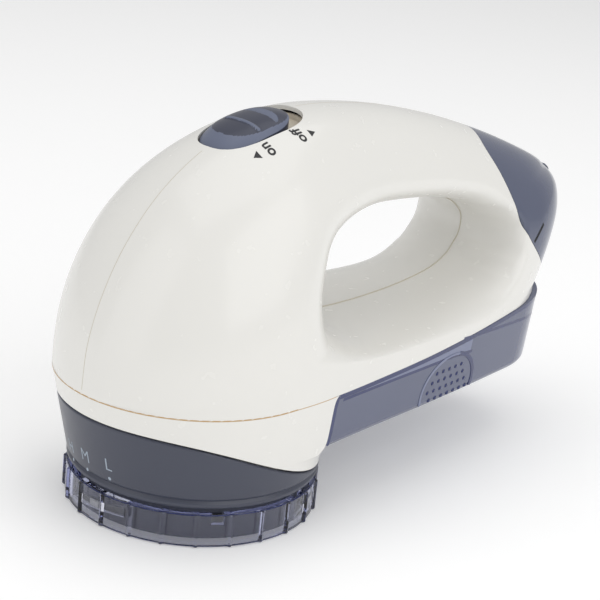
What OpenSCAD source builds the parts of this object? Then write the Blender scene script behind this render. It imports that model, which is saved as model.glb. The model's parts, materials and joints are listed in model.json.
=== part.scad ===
// Battery-powered fabric shaver: a domed cutting head with a looped handle.
// Frame: -X is the nose, +X the rear, +Z up; z = 0 is the guard ring's lower rim,
// on which the shaver stands, and the origin is that ring's centre.

/* [Housing] */
// Height of the parting line between the housing halves and the head skirt
parting_z = 42.2; // [41.5:0.1:43]
// Plan radius of the nose at the parting line
nose_r = 42.2; // [41.8:0.1:42.8]
// Wall thickness of the housing halves
wall = 2.2; // [1.8:0.1:2.4]
// Squareness of the housing's upper cross-section (2 is an ellipse)
crown_n = 2.25; // [2:0.05:2.5]
// Slope of the skirt and lint box sides, in mm per mm of height
draft = 0.1; // [0.06:0.01:0.12]

/* [Head] */
// Outer radius of the guard ring over its ribs
guard_r = 40; // [39.8:0.1:40.4]
// Height of the guard ring
guard_h = 10.4; // [10:0.1:10.6]
// Number of grip ribs round the guard ring
rib_count = 24; // [18:1:30]
// Radius of the foil
foil_r = 31; // [30:0.5:31]
// Number of blades on the cutter
blade_count = 6; // [3:1:6]
// Turn of the guard ring from M to L or H, in degrees
guard_turn = 14; // [10:1:16]
// Lift of the guard ring over that turn
guard_lift = 1; // [0.5:0.1:1]

/* [Lint box] */
// Height of the lint box's floor above the ground
box_floor_z = 24; // [23.5:0.1:25]
// Rear end of the lint box
box_end_x = 151; // [146:0.5:151]
// Wall thickness of the lint box
box_wall = 1.8; // [1.4:0.1:2.2]

/* [Switch] */
// Travel of the switch button
switch_travel = 5; // [4:0.5:5]
// Half length of the switch button
button_a = 13.4; // [12:0.1:13.6]
// Half width of the switch button
button_b = 10.4; // [9:0.1:10.6]

/* [Battery bay] */
// Diameter of a battery (AA)
cell_d = 14.2; // [14:0.1:14.5]
// Length of a battery without its nipple
cell_l = 49; // [48.5:0.5:50]
// Tilt of the battery bay, nose up
bay_tilt = 20; // [18:1:22]

/* [Hidden] */
$fn = 64;
cream = [0.9, 0.89, 0.86];
slate = [0.25, 0.28, 0.36];
smoke = [0.42, 0.46, 0.6, 0.6];
steel = [0.7, 0.71, 0.73];

// ---- curves ----
function blend(a, b, c, d, t) =
  0.5 * (2 * b + (c - a) * t + (2 * a - 5 * b + 4 * c - d) * t * t + (3 * b - a - 3 * c + d) * t * t * t);
// Smooth curve through open points p, n steps to a span
function curve(p, n) = let (m = len(p)) [for (i = [0 : m - 2]) for (k = [0 : n - 1])
  blend(i > 0 ? p[i - 1] : 2 * p[0] - p[1], p[i], p[i + 1],
    i < m - 2 ? p[i + 2] : 2 * p[m - 1] - p[m - 2], k / n), p[m - 1]];
// Smooth closed curve through points p, n steps to a span
function ring_curve(p, n) = let (m = len(p)) [for (i = [0 : m - 1]) for (k = [0 : n - 1])
  blend(p[(i + m - 1) % m], p[i], p[(i + 1) % m], p[(i + 2) % m], k / n)];
function unit(v) = v / max(norm(v), 1e-9);

// ---- housing shape ----
nose_x = -3.8;      // centre of the nose's plan circle
foot = [151, 52.5];   // rear foot of the housing on the centre plane
// Centre-plane outline, from the rear foot over the handle to the nose
outline = [foot, [155.5, 60], [161.5, 70], [166.6, 79.5], [167.2, 87], [159, 92.3], [143, 98.8],
  [118, 107.3], [92, 114.2], [66, 119], [42.5, 121], [25, 120.3], [8, 116.7], [-8, 109.5],
  [-22, 99], [-33, 85.7], [-40.5, 71.3], [-44.8, 56.8], [nose_x - nose_r, parting_z]];
// Hand hole on the centre plane, matched to the outline: x, z, depth of the rounding
hole_upper = [[116.5, 65, 8], [119, 68.5, 7.5], [119.8, 72.5, 7], [119, 76.3, 7],
  [116, 79.5, 7.5], [112, 82, 8.5], [106.5, 84, 9.5], [99, 85.8, 10.5], [84, 88.2, 11.5], [66, 89.5, 13],
  [50, 89.5, 15], [39, 87, 18], [32, 83, 22], [29, 79.5, 24], [27.5, 75, 25], [26.5, 71, 25],
  [26.5, 67, 25], [27, 63.5, 24], [28, 60.5, 22]];
// The same, matched to the lower edge from the nose back to the foot
hole_lower = [[29, 58.7, 19], [31, 56.8, 15], [34.5, 54.8, 11], [39, 53.4, 8], [44, 52.6, 6.5],
  [56, 52.2, 5.5], [74, 53, 5.5], [92, 55, 6.5], [106, 58, 7.5], [113, 61.5, 8]];
// Lower edge stations: turns round the nose, then x positions along the side
edge_turns = [0, 30, 60, 90];
edge_x = [9, 21, 42, 65, 88, 112, 136, foot[0]];
// Half width of the housing at its lower edge: x, half width
widths = [[nose_x, nose_r], [10, 41.8], [22, 40.4], [45, 37.6], [70, 34.8], [95, 31.6], [120, 28],
  [145, 24.2], [168, 20.5]];
rear_round = 30;    // depth of the rear end's rounding
rear_n = 2.2;       // its squareness
hole_n = 2.1;       // squareness of the hand hole's rounding

fine = 12;
crown_from = 4;     // the outline point from which x only falls
crown_table = curve([for (i = [crown_from : len(outline) - 1]) outline[i]], fine);
rear_table = [for (p = curve([for (i = [0 : 6]) outline[i]], fine)) if (p[1] < 91) [p[1], p[0]]];
width_table = curve(widths, fine);

// Height of the housing's lower edge
function edge_z(x) = parting_z + (x < 20 ? 0 : 0.0006 * pow(min(x, foot[0]) - 20, 2));
function crown_z(x) = lookup(x, crown_table);
function half_width(x) = x < nose_x ? sqrt(max(0, nose_r * nose_r - pow(x - nose_x, 2)))
  : lookup(x, width_table);
function round_off(q, n) = pow(max(0, 1 - pow(1 - min(max(q, 0), 1), n)), 1 / n);
function rear_factor(x, z) = round_off((lookup(z, rear_table) - x) / rear_round, rear_n);
// Half width of the whole body at (x, z), before the hand hole
function body_y(x, z) = let (b = edge_z(x), t = crown_z(x))
  t <= b ? 0 : half_width(x) * rear_factor(x, z)
    * pow(max(0, 1 - pow(min(max(0, (z - b) / (t - b)), 1), crown_n)), 1 / crown_n);
// Height of the upper surface above a plan point
function top_z(x, y) = let (b = edge_z(x), q = min(1, abs(y) / half_width(x)))
  b + (crown_z(x) - b) * pow(1 - pow(q, crown_n), 1 / crown_n);

span_steps = 3;     // grid columns to a station
rows = 13;          // grid rows from the outline to the hand hole
edge_stations = concat([for (t = edge_turns) nose_x - nose_r * cos(t)], edge_x);
loop_outer = concat(
  [for (i = [0 : (len(outline) - 1) * span_steps - 1]) curve(outline, span_steps)[i]],
  [for (i = [0 : len(edge_stations) - 2]) for (k = [0 : span_steps - 1])
    let (t = k / span_steps, x = i < 3 ? nose_x - nose_r * cos(30 * (i + t))
      : edge_stations[i] * (1 - t) + edge_stations[i + 1] * t) [x, edge_z(x)]]);
loop_inner = ring_curve(concat(hole_upper, hole_lower, [[115.2, 63.3, 8]]), span_steps);
cols = len(loop_outer);
nose_col = (len(outline) - 1) * span_steps;

function shell_point(i, j) = let (
  o = loop_outer[i], h = loop_inner[i], run = norm([h[0] - o[0], h[1] - o[1]]),
  t = (1 - cos(180 * j / rows)) / 2, p = o + ([h[0], h[1]] - o) * t,
  t0 = max(0, 1 - h[2] / run), q = max(0, (t - t0) / (1 - t0)),
  y = (j == 0 && i <= nose_col) || j == rows ? 0
    : body_y(p[0], p[1]) * pow(max(0, 1 - pow(q, hole_n)), 1 / hole_n))
  [p[0], -y, p[1]];
grid = [for (i = [0 : cols - 1]) [for (j = [0 : rows]) shell_point(i, j)]];
function grid_normal(i, j) = let (
  a = grid[(i + 1) % cols][j] - grid[(i + cols - 1) % cols][j],
  b = grid[i][min(j + 1, rows)] - grid[i][max(j - 1, 0)],
  n = cross(a, b),
  seam = j == rows || (j == 0 && i <= nose_col), lip = j == 0 && (i >= nose_col || i == 0))
  unit([n[0], seam ? 0 : n[1], lip ? 0 : n[2]]);
inner_grid = [for (i = [0 : cols - 1]) [for (j = [0 : rows]) let (p = grid[i][j] - wall * grid_normal(i, j))
  i >= nose_col ? [p[0], p[1], max(p[2], (grid[i][0][2] + grid[i][j][2]) / 2)] : p]];

module half_shell() {
  m = cols * (rows + 1);
  function at(i, j) = (i % cols) * (rows + 1) + j;
  points = concat([for (c = grid) for (p = c) p], [for (c = inner_grid) for (p = c) p]);
  faces = [for (i = [0 : cols - 1]) each concat(
    [for (j = [0 : rows - 1]) each [
      [at(i, j), at(i, j + 1), at(i + 1, j)], [at(i + 1, j), at(i, j + 1), at(i + 1, j + 1)],
      [m + at(i, j), m + at(i + 1, j), m + at(i, j + 1)],
      [m + at(i + 1, j), m + at(i + 1, j + 1), m + at(i, j + 1)]]],
    [[at(i, 0), at(i + 1, 0), m + at(i, 0)], [at(i + 1, 0), m + at(i + 1, 0), m + at(i, 0)],
     [at(i + 1, rows), at(i, rows), m + at(i, rows)],
     [at(i + 1, rows), m + at(i, rows), m + at(i + 1, rows)]])];
  polyhedron(points, faces);
}

// Side view of the battery cover, running out past the body at the rear
cover_edge = [[114, 113], [112.4, 110], [109.6, 107], [109, 103.5], [112.3, 96.7], [120.8, 81.5],
  [129, 71], [139, 62.1], [150, 56.6], [162, 55], [175, 55]];
module cover_region(gap) {
  p = curve(cover_edge, 4);
  n = len(p);
  rotate([90, 0, 0]) linear_extrude(120, center = true)
    polygon(concat([for (k = [0 : n - 1]) let (t = unit(p[min(k + 1, n - 1)] - p[max(k - 1, 0)]))
      p[k] + gap * [t[1], -t[0]]], [[175, 125], [114 - gap, 125]]));
}

// Plan of the switch: a rounded oval centred at x
switch_x = 9.6;
switch_pivot = [28.1, 0, 66.3]; // centre of the crown's curve under the button
function oval(a, b, n, k, steps) = let (c = cos(360 * k / steps), s = sin(360 * k / steps))
  [a * sign(c) * pow(abs(c), 2 / n), b * sign(s) * pow(abs(s), 2 / n)];
// Pad that follows the housing's crown: plan oval, lower and upper heights above the crown
module crown_pad(x, a, b, low, high, dome = 0, steps = 48, rings = 5) {
  points = concat([[x, 0, top_z(x, 0) + high + dome], [x, 0, top_z(x, 0) + low]],
    [for (side = [0, 1]) for (r = [1 : rings]) for (k = [0 : steps - 1])
      let (q = r / rings, p = oval(a, b, 2.6, k, steps) * q, u = x + p[0], v = p[1])
      [u, v, top_z(u, v) + (side == 0 ? high + dome * (1 - pow(q, 4)) : low)]]);
  function at(side, r, k) = 2 + (side * rings + r - 1) * steps + k % steps;
  faces = concat(
    [for (k = [0 : steps - 1]) each [[0, at(0, 1, k), at(0, 1, k + 1)], [1, at(1, 1, k + 1), at(1, 1, k)],
      [at(0, rings, k), at(1, rings, k), at(0, rings, k + 1)],
      [at(1, rings, k), at(1, rings, k + 1), at(0, rings, k + 1)]]],
    [for (r = [1 : rings - 1]) for (k = [0 : steps - 1]) each [
      [at(0, r, k), at(0, r + 1, k), at(0, r + 1, k + 1)],
      [at(0, r, k), at(0, r + 1, k + 1), at(0, r, k + 1)],
      [at(1, r, k), at(1, r + 1, k + 1), at(1, r + 1, k)],
      [at(1, r, k), at(1, r, k + 1), at(1, r + 1, k + 1)]]]);
  polyhedron(points, [for (f = faces) [f[0], f[2], f[1]]]);
}
well_x = switch_x + switch_travel / 2;
well_a = button_a + switch_travel / 2 + 0.8;
well_b = button_b + 0.8;
module switch_window(grow) { crown_pad(well_x, well_a + grow, well_b + grow, -7, 5, rings = 2); }

// Screws between the halves, driven from the right side: x, z, depth of the boss ends below the flank
posts = [[-22, 78, 5.4], [14, 92, 3.6], [90, 101, 4.2]];
post_r = 2;
// Cylinder along Y at a post, from y = from to y = to
module post_along(p, from, to, r) {
  translate([p[0], from, p[1]]) rotate([-90, 0, 0]) cylinder(r = r, h = to - from);
}
function post_end(p) = body_y(p[0], p[1]) - p[2];
module housing_half() {
  difference() {
    half_shell();
    cover_region(0.15);
    switch_window(1.4);
  }
}
module left_housing() { color(cream) housing_half(); }
module right_housing() {
  color(cream) difference() {
    mirror([0, 1, 0]) housing_half();
    for (p = posts) post_along(p, 5, 60, post_r);
  }
}
module left_bosses() {
  color(cream) for (p = posts) difference() {
    post_along(p, -post_end(p), -0.1, post_r);
    post_along(p, -9.2, 1, 0.95);
  }
}
module right_bosses() {
  color(cream) for (p = posts) difference() {
    post_along(p, 0.1, post_end(p), post_r);
    post_along(p, -1, 60, 1.05);
    post_along(p, post_end(p) - 2, 60, 1.75);
  }
}
module housing_screws() {
  color(steel) for (p = posts) let (y = post_end(p) - 2) {
    post_along(p, -9, y, 0.9);
    difference() {
      post_along(p, y, y + 1.3, 1.65);
      translate([p[0] - 3, y + 0.8, p[1] - 0.25]) cube([6, 2, 0.5]);
    }
  }
}

// ---- head: skirt and collar ----
neck_r = 36;        // collar's neck inside the skirt
slide_r = 36.8;     // collar's neck inside the guard ring
flange_z = 11.6;    // underside of the collar's flange
deck_z = 22.2;      // underside of the skirt's deck
deck_t = 2;
deck_top = deck_z + deck_t;
deck_rear_z = box_floor_z - 0.2; // top of the deck under the lint box
// Plan circle of the head at height z: centre x and radius
function head_x(z) = nose_x * max(0, z - 16) / (parting_z - 16);
function head_r(z) = nose_r - draft * (parting_z - z);
function side_y(x, z) = half_width(x) - draft * (parting_z - z);
// Collar's upper edge, high at the nose and low at the rear
function collar_z(x) = 24.8 + 9.7 * cos(180 * (min(max(x, -46), 30) + 46) / 76);
arc_steps = 40;
box_front_x = 20;
// Plan outline of the head: half round nose, straight sides to x_end
function head_plan(z, inset, x_end) = let (c = head_x(z), r = head_r(z) - inset) concat(
  [for (k = [0 : arc_steps]) let (a = 90 + 180 * k / arc_steps) [c + r * cos(a), r * sin(a)]],
  [for (x = [4 : 4 : x_end]) [x, -side_y(x, z) + inset]],
  [for (x = [floor(x_end / 4) * 4 : -4 : 4]) [x, side_y(x, z) - inset]]);
function head_circle(z, inset) = let (c = head_x(z), r = head_r(z) - inset)
  [for (k = [0 : 2 * arc_steps - 1]) let (a = 180 * k / arc_steps) [c + r * cos(a), r * sin(a)]];
// Solid through a stack of plan outlines at heights zs
module stack(outlines, zs) {
  n = len(outlines[0]);
  m = len(zs);
  polyhedron(
    [for (i = [0 : m - 1]) for (p = outlines[i]) [p[0], p[1], zs[i]]],
    concat([[for (k = [0 : n - 1]) k], [for (k = [n - 1 : -1 : 0]) (m - 1) * n + k]],
      [for (i = [0 : m - 2]) for (k = [0 : n - 1]) let (a = i * n + k, b = i * n + (k + 1) % n)
        each [[a, a + n, b], [b, a + n, b + n]]]));
}
// Everything below (or above) the collar's upper edge, lifted by gap
module collar_side(gap, below) {
  rotate([90, 0, 0]) linear_extrude(120, center = true) polygon(concat(
    [for (x = [-60 : 2 : 60]) [x, collar_z(x) + gap]],
    below ? [[60, -20], [-60, -20]] : [[60, 80], [-60, 80]]));
}
module tube(r1, r2, h) {
  difference() {
    cylinder(r = r2, h = h);
    translate([0, 0, -1]) cylinder(r = r1, h = h + 2);
  }
}

port_x = [22, 33.5]; // lint port through the deck
port_w = 22;
screw_ring = 17.8;    // radius of the motor deck's screws
skirt_gap = 0.25;
module lint_port(z, h) { translate([port_x[0], -port_w / 2, z]) cube([port_x[1] - port_x[0], port_w, h]); }
module head_skirt() {
  lower = [13, 18, deck_rear_z];
  upper = [deck_rear_z - 0.5, 30, 36, parting_z - 0.2];
  plug = [deck_z, 30, 37];
  hollow = [[deck_top, 4.4], [36.6, 4.4], [38.6, wall], [44, wall]];
  color(cream) difference() {
    union() {
      intersection() {
        stack([for (z = lower) head_circle(z, 0)], lower);
        collar_side(skirt_gap, false);
      }
      intersection() {
        stack([for (z = upper) head_plan(z, 0, box_front_x)], upper);
        collar_side(skirt_gap, false);
      }
      stack([for (z = plug) head_plan(z, 2.3, box_front_x)], plug);
    }
    difference() {
      stack([for (h = hollow) head_plan(h[0], h[1], box_front_x - 4)], [for (h = hollow) h[0]]);
      translate([box_front_x - 2 * wall, -60, 0]) cube([40, 120, 60]);
    }
    translate([0, 0, 5]) cylinder(r = neck_r + 0.2, h = deck_z - 5);
    translate([0, 0, deck_z - 1]) cylinder(r = 12, h = 10);
    lint_port(deck_z - 1, 10);
    for (a = [45, 135, 225, 315]) rotate(a) translate([screw_ring, 0, deck_z - 1]) cylinder(r = 1.1, h = 8);
    interlock_hole(deck_z - 1, 8, 1.6);
  }
}

// Outer pegs that carry the guard ring, and inner slots that hold the foil frame
peg_turns = [60, 180, 300];
peg_z = 5.5;
peg_h = 2;
peg_out = 38.2;
frame_r = 34;
lug_turns = [0, 120, 240];
lug_z = 4;
lug_h = 2;
lug_out = 35.4;
foil_twist = 25;
module sector(r1, r2, z, h, from, turn) {
  translate([0, 0, z]) rotate(from) rotate_extrude(angle = turn) translate([r1, 0]) square([r2 - r1, h]);
}
// Slot between radii r1 and r2 whose floor climbs from z1 to z2 as it turns
module ramp_slot(r1, r2, from, turn, z1, z2, h) {
  steps = 12;
  points = [for (k = [0 : steps]) let (a = from + turn * k / steps, z = z1 + (z2 - z1) * k / steps)
    each [for (c = [[r1, z], [r2, z], [r2, z + h], [r1, z + h]]) [c[0] * cos(a), c[0] * sin(a), c[1]]]];
  sides = [for (k = [0 : steps - 1]) for (i = [0 : 3]) let (a = 4 * k + i, b = 4 * k + (i + 1) % 4)
    each [[a, b, a + 4], [b, b + 4, a + 4]]];
  polyhedron(points, concat(sides, [[2, 1, 0], [3, 2, 0]],
    [for (f = [[0, 1, 2], [0, 2, 3]]) [for (i = f) 4 * steps + i]]));
}
module collar() {
  inner = [flange_z + 2.2, 20, 36];
  outer = [flange_z, 16, 22, 30, 38];
  neck_top = deck_z - 0.4;
  color(slate) difference() {
    union() {
      intersection() {
        stack([for (z = outer) head_circle(z, 0)], outer);
        collar_side(0, true);
      }
      translate([0, 0, 2]) cylinder(r = slide_r, h = flange_z - 1.9);
      translate([0, 0, flange_z]) cylinder(r = neck_r, h = neck_top - flange_z);
      for (a = peg_turns) sector(slide_r - 0.3, peg_out, peg_z - peg_h / 2, peg_h, a - 3, 6);
    }
    difference() {
      intersection() {
        stack([for (z = inner) head_circle(z, 2)], inner);
        collar_side(3, true);
      }
      cylinder(r = neck_r + 1.2, h = 60);
    }
    difference() {
      translate([0, 0, neck_top - 0.01]) cylinder(r = 60, h = 30);
      difference() {
        stack([for (z = [10, 40]) head_circle(z, -1)], [10, 40]);
        translate([0, 0, -1]) cylinder(r = neck_r + 1.2, h = 60);
      }
    }
    translate([0, 0, 1]) cylinder(r = frame_r + 0.2, h = 40);
    for (a = lug_turns) {
      sector(frame_r, lug_out + 0.3, 1, lug_z - 1, a + foil_twist - 5.8, 11.6);
      sector(frame_r, lug_out + 0.2, lug_z - lug_h / 2 - 0.2, lug_h + 0.4, a - 6, foil_twist + 12);
    }
    index_groove();
    for (a = screw_turns) rotate(a) translate([(neck_r + frame_r) / 2, 0, 12]) cylinder(r = 0.6, h = 20);
  }
}
screw_turns = [90, 210, 330];
module collar_screws() {
  color(steel) for (a = screw_turns) rotate(a) translate([(neck_r + frame_r) / 2, 0, 0]) {
    translate([0, 0, 14]) cylinder(r = 0.55, h = deck_z - 14.1);
  }
}

// ---- guard ring and its index ring ----
bore_r = slide_r + 0.06;
guard_wall_r = guard_r - 0.8;
index_z = 8.4;
index_h = 1.5;
index_in = 35.7;
key_turns = [0, 120, 240];
module index_groove() {
  translate([0, 0, index_z - 0.1]) difference() {
    cylinder(r = slide_r + 1, h = index_h + 0.2);
    translate([0, 0, -1]) cylinder(r = index_in - 0.06, h = 5);
  }
}
module index_ring() {
  color("dimgray") {
    translate([0, 0, index_z]) tube(index_in, slide_r - 0.04, index_h);
    for (a = key_turns) sector(slide_r - 0.3, 38, index_z, index_h, a - 2.5, 5);
  }
}
// Helical groove for one peg, open at the top at its low end
module guard_groove(a) {
  reach = guard_turn + 4;
  rise = guard_lift * reach / guard_turn;
  floor_z = peg_z - peg_h / 2 - 0.45;
  ramp_slot(bore_r - 1, peg_out + 0.3, a - reach, 2 * reach, floor_z - rise, floor_z + rise, peg_h + 0.9);
  sector(bore_r - 1, peg_out + 0.2, peg_z - 1, guard_h, a - reach + 0.3, 6.6);
}
module guard_ring() {
  color(smoke) difference() {
    union() {
      cylinder(r = guard_wall_r, h = guard_h);
      for (k = [0 : rib_count - 1]) rotate(6 + 360 * k / rib_count) translate([guard_r - 1.1, 0, 0])
        cylinder(r = 1.1, h = guard_h);
    }
    translate([0, 0, -1]) cylinder(r = bore_r, h = guard_h + 2);
    for (a = peg_turns) guard_groove(a);
    for (a = key_turns) sector(bore_r - 1, 38.3, index_z - guard_lift - 0.4, guard_h, a - 2.8, 5.6);
  }
}

// ---- foil unit ----
foil_z = 2.6;
foil_t = 0.25;
frame_top = 9;
// Ramp under the interlock pin, in the frame's top rim
module cam_ramp() {
  spare = 3;
  turn = foil_twist + 2 * spare;
  fall = pin_drop * turn / foil_twist;
  ramp_slot(foil_r - 1, frame_r + 1, pin_turn + spare - turn, turn, frame_top - fall, frame_top, 8);
}
module foil_frame() {
  color("dimgray") {
    difference() {
      union() {
        translate([0, 0, 1]) cylinder(r = frame_r, h = frame_top - 1);
        for (a = lug_turns) sector(frame_r - 0.5, lug_out, lug_z - lug_h / 2, lug_h, a - 5, 10);
      }
      translate([0, 0, foil_z]) cylinder(r = foil_r + 1, h = 20);
      translate([0, 0, 0]) cylinder(r = foil_r - 0.6, h = 20);
      for (k = [0 : 11]) rotate(15 + 30 * k) translate([frame_r + 0.6, 0, 0]) cylinder(r = 1.4, h = 2.2);
      cam_ramp();
    }
  }
}
hole_rings = [[6, 6, 0.9], [10, 12, 1.1], [14, 18, 0.9], [18, 22, 1.1], [22, 28, 0.9], [26, 32, 1.1]];
module foil() {
  color(steel) difference() {
    translate([0, 0, foil_z]) cylinder(r = foil_r + 0.8, h = foil_t);
    for (h = hole_rings) for (k = [0 : h[1] - 1]) rotate(360 * (k + 0.5 * (h[0] % 4) / 2) / h[1])
      translate([h[0], 0, 0]) cylinder(r = h[2], h = 10, $fn = 24);
  }
}
module foil_clamp() {
  color("dimgray") translate([0, 0, foil_z + foil_t]) tube(foil_r - 0.6, foil_r + 0.9, 2.2);
}

// ---- drive: shaft, cutter, fan, motor ----
blade_z = foil_z + foil_t + 0.1;
shaft_r = 1.15;
fan_z = 15;
motor_z = deck_z + 2 * deck_t + 2;
motor_r = 13.8;
motor_l = 32;
module motor_shaft() { color(steel) translate([0, 0, 8]) cylinder(r = shaft_r, h = motor_z + 10 - 8); }
module cutter_blades() {
  color(steel) translate([0, 0, blade_z]) {
    difference() {
      cylinder(r = 7, h = 0.6);
      translate([0, 0, -1]) cylinder(r = 2.6, h = 3);
    }
    for (k = [0 : blade_count - 1]) rotate(360 * k / blade_count) difference() {
      translate([5, -1.6, 0]) cube([foil_r - 7, 3.2, 0.6]);
      translate([9, -0.7, -1]) cube([foil_r - 15, 1.4, 3]);
    }
  }
}
module cutter_hub() {
  color("white") difference() {
    union() {
      translate([0, 0, blade_z]) cylinder(r = 2.5, h = 12 - blade_z);
      translate([0, 0, blade_z + 0.6]) cylinder(r = 6.5, h = 2);
      translate([0, 0, 9]) cylinder(r = 5, h = 3);
    }
    translate([0, 0, 8]) cylinder(r = shaft_r, h = 10);
    translate([0, 0, -1]) cylinder(r = 1.2, h = 6);
  }
}
spring_r = 3.4;
module cutter_spring() {
  turns = 4;
  color(steel) for (k = [0 : turns - 1]) translate([0, 0, blade_z + 3.0 + 0.7 * k])
    rotate_extrude() translate([spring_r, 0]) circle(r = 0.3, $fn = 16);
}
module fan_impeller() {
  vanes = 9;
  color("white") difference() {
    union() {
      translate([0, 0, fan_z]) cylinder(r = 27, h = 1.2);
      translate([0, 0, fan_z - 1]) cylinder(r = 4, h = 6.4);
      for (k = [0 : vanes - 1]) rotate(360 * k / vanes) translate([6, 0, fan_z + 1.1]) rotate(20)
        cube([20, 1, 4]);
    }
    translate([0, 0, fan_z - 3]) cylinder(r = shaft_r, h = 12);
    for (k = [0 : 5]) rotate(60 * k + 20) translate([14, 0, fan_z - 1]) cylinder(r = 3.2, h = 2.1);
  }
}
module motor_deck() {
  z = deck_top;
  color("lightgray") difference() {
    union() {
      translate([0, 0, z]) cylinder(r = 15.5, h = 2);
      for (a = [45, 135, 225, 315]) rotate(a) translate([screw_ring, 0, z]) cylinder(r = 2.8, h = 2);
      translate([0, 0, z + 2]) tube(motor_r + 0.3, 15.5, 6);
    }
    translate([0, 0, z - 1]) cylinder(r = 3.2, h = 4);
    for (a = [45, 135, 225, 315]) rotate(a) translate([screw_ring, 0, z - 1]) cylinder(r = 1.25, h = 12);
    for (y = [-1, 1]) translate([0, 8 * y, z - 1]) cylinder(r = 1.1, h = 4);
    translate([12, -5, z + 3]) cube([10, 10, 10]);
    interlock_hole(z - 1, 12, 1.6);
  }
}
module motor_can() {
  color(steel) difference() {
    union() {
      translate([0, 0, motor_z]) cylinder(r = motor_r, h = motor_l);
      translate([0, 0, motor_z - 1.9]) cylinder(r = 3, h = 2);
    }
    translate([0, 0, motor_z - 3]) cylinder(r = shaft_r + 0.05, h = 13);
    for (a = [30, 210]) rotate(a) translate([motor_r - 0.8, -3, motor_z + motor_l - 9]) cube([2, 6, 4]);
  }
}
module motor_endcap() {
  color("ivory") translate([0, 0, motor_z + motor_l]) difference() {
    union() {
      cylinder(r = motor_r - 0.6, h = 2.4);
      cylinder(r = 4, h = 4.4);
      for (y = [-1, 1]) translate([-1.2, 9 * y - 0.3, 2]) cube([2.4, 0.6, 5]);
    }
    translate([0, 0, -1]) cylinder(r = 1.4, h = 8);
  }
}
module motor_damper() {
  color("black") translate([0, 0, motor_z + motor_l - 6]) tube(motor_r, motor_r + 2, 5);
}
module motor_screws() {
  z = deck_top;
  color(steel) for (a = [45, 135, 225, 315]) rotate(a) translate([screw_ring, 0, 0]) {
    translate([0, 0, deck_z - 0.2]) cylinder(r = 1.05, h = z - deck_z + 2.2);
    translate([0, 0, z + 2]) difference() {
      cylinder(r = 2.2, h = 1.4);
      translate([-3, -0.3, 0.8]) cube([6, 0.6, 2]);
    }
  }
}

// ---- safety interlock: the foil frame lifts a pin that closes a microswitch ----
pin_at = [-24.6, 20.6];
pin_turn = 140;
pin_drop = 1.5;
module interlock_hole(z, h, r) { translate([pin_at[0], pin_at[1], z]) cylinder(r = r, h = h); }
module interlock_pin() {
  color("white") translate([pin_at[0], pin_at[1], 0]) {
    translate([0, 0, frame_top + 0.1]) cylinder(r = 1.5, h = deck_z + 9 - frame_top - 0.1);
    translate([0, 0, deck_top + pin_drop + 0.2]) cylinder(r = 2.4, h = 1.2);
  }
}
module interlock_switch() {
  color("black") difference() {
    union() {
      translate([pin_at[0] - 5, pin_at[1] - 3, deck_z + 9.3]) cube([12, 6, 7]);
      for (x = [-4.5, 6]) translate([pin_at[0] + x, pin_at[1] - 2.6, deck_top]) cube([1, 3, 8]);
    }
    for (x = [-2.5, 4.5]) translate([pin_at[0] + x, pin_at[1] - 4, deck_z + 13]) rotate([-90, 0, 0])
      cylinder(r = 0.9, h = 8);
  }
}

// ---- lint path ----
module lint_duct() {
  z = deck_rear_z;
  color("lightgray") difference() {
    translate([port_x[0], -port_w / 2 - 1, z]) cube([port_x[1] - port_x[0] + 1, port_w + 2, 11]);
    translate([port_x[0] + 1.2, -port_w / 2 + 0.2, z - 1])
      cube([port_x[1] - port_x[0] + 2, port_w - 0.4, 10.6]);
  }
}
rail_y = 12.5;
mouth_y = 17.6;      // half width of the lint box's open front
rail_z = 37.5;
function box_half(x, z, inset) = (side_y(x, z) - inset)
  * round_off((box_end_x - inset - x) / 24, 2.3);
function box_plan(z, inset, x0) = let (
  xs = concat([for (k = [0 : 5]) x0 + (box_end_x - 26 - x0) * k / 6],
    [for (a = [0 : 9 : 90]) box_end_x - inset - 24 + (24) * sin(a)]))
  concat([for (x = xs) [x, -box_half(x, z, inset)]],
    [for (k = [len(xs) - 2 : -1 : 0]) [xs[k], box_half(xs[k], z, inset)]]);
function plate_side(low, high, x0, x1) = concat([for (x = [x0 : 6 : x1]) [x, edge_z(x) + low]],
  [for (x = [x1 : -6 : x0]) [x, edge_z(x) + high]]);
module side_slab(low, high, x0, x1, w) {
  rotate([90, 0, 0]) linear_extrude(w, center = true) polygon(plate_side(low, high, x0, x1));
}
module base_plate() {
  color(cream) {
    difference() {
      intersection() {
        side_slab(0.1, 1.7, 20, 152, 120);
        stack([for (z = [38, 56]) [for (p = box_plan(z, wall + 1.4, 21)) [min(p[0], 126), p[1]]]], [38, 56]);
      }
      translate([30, 0, 30]) cylinder(r = 4, h = 30);
    }
    for (s = [-1, 1]) {
      intersection() {
        translate([40, s * rail_y - 0.8, rail_z]) cube([80, 1.6, 20]);
        side_slab(-20, 0.6, 34, 130, 120);
      }
      translate([40, s * rail_y + (s > 0 ? 0 : -4), rail_z]) cube([80, 4, 1.2]);
    }
  }
}
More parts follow.
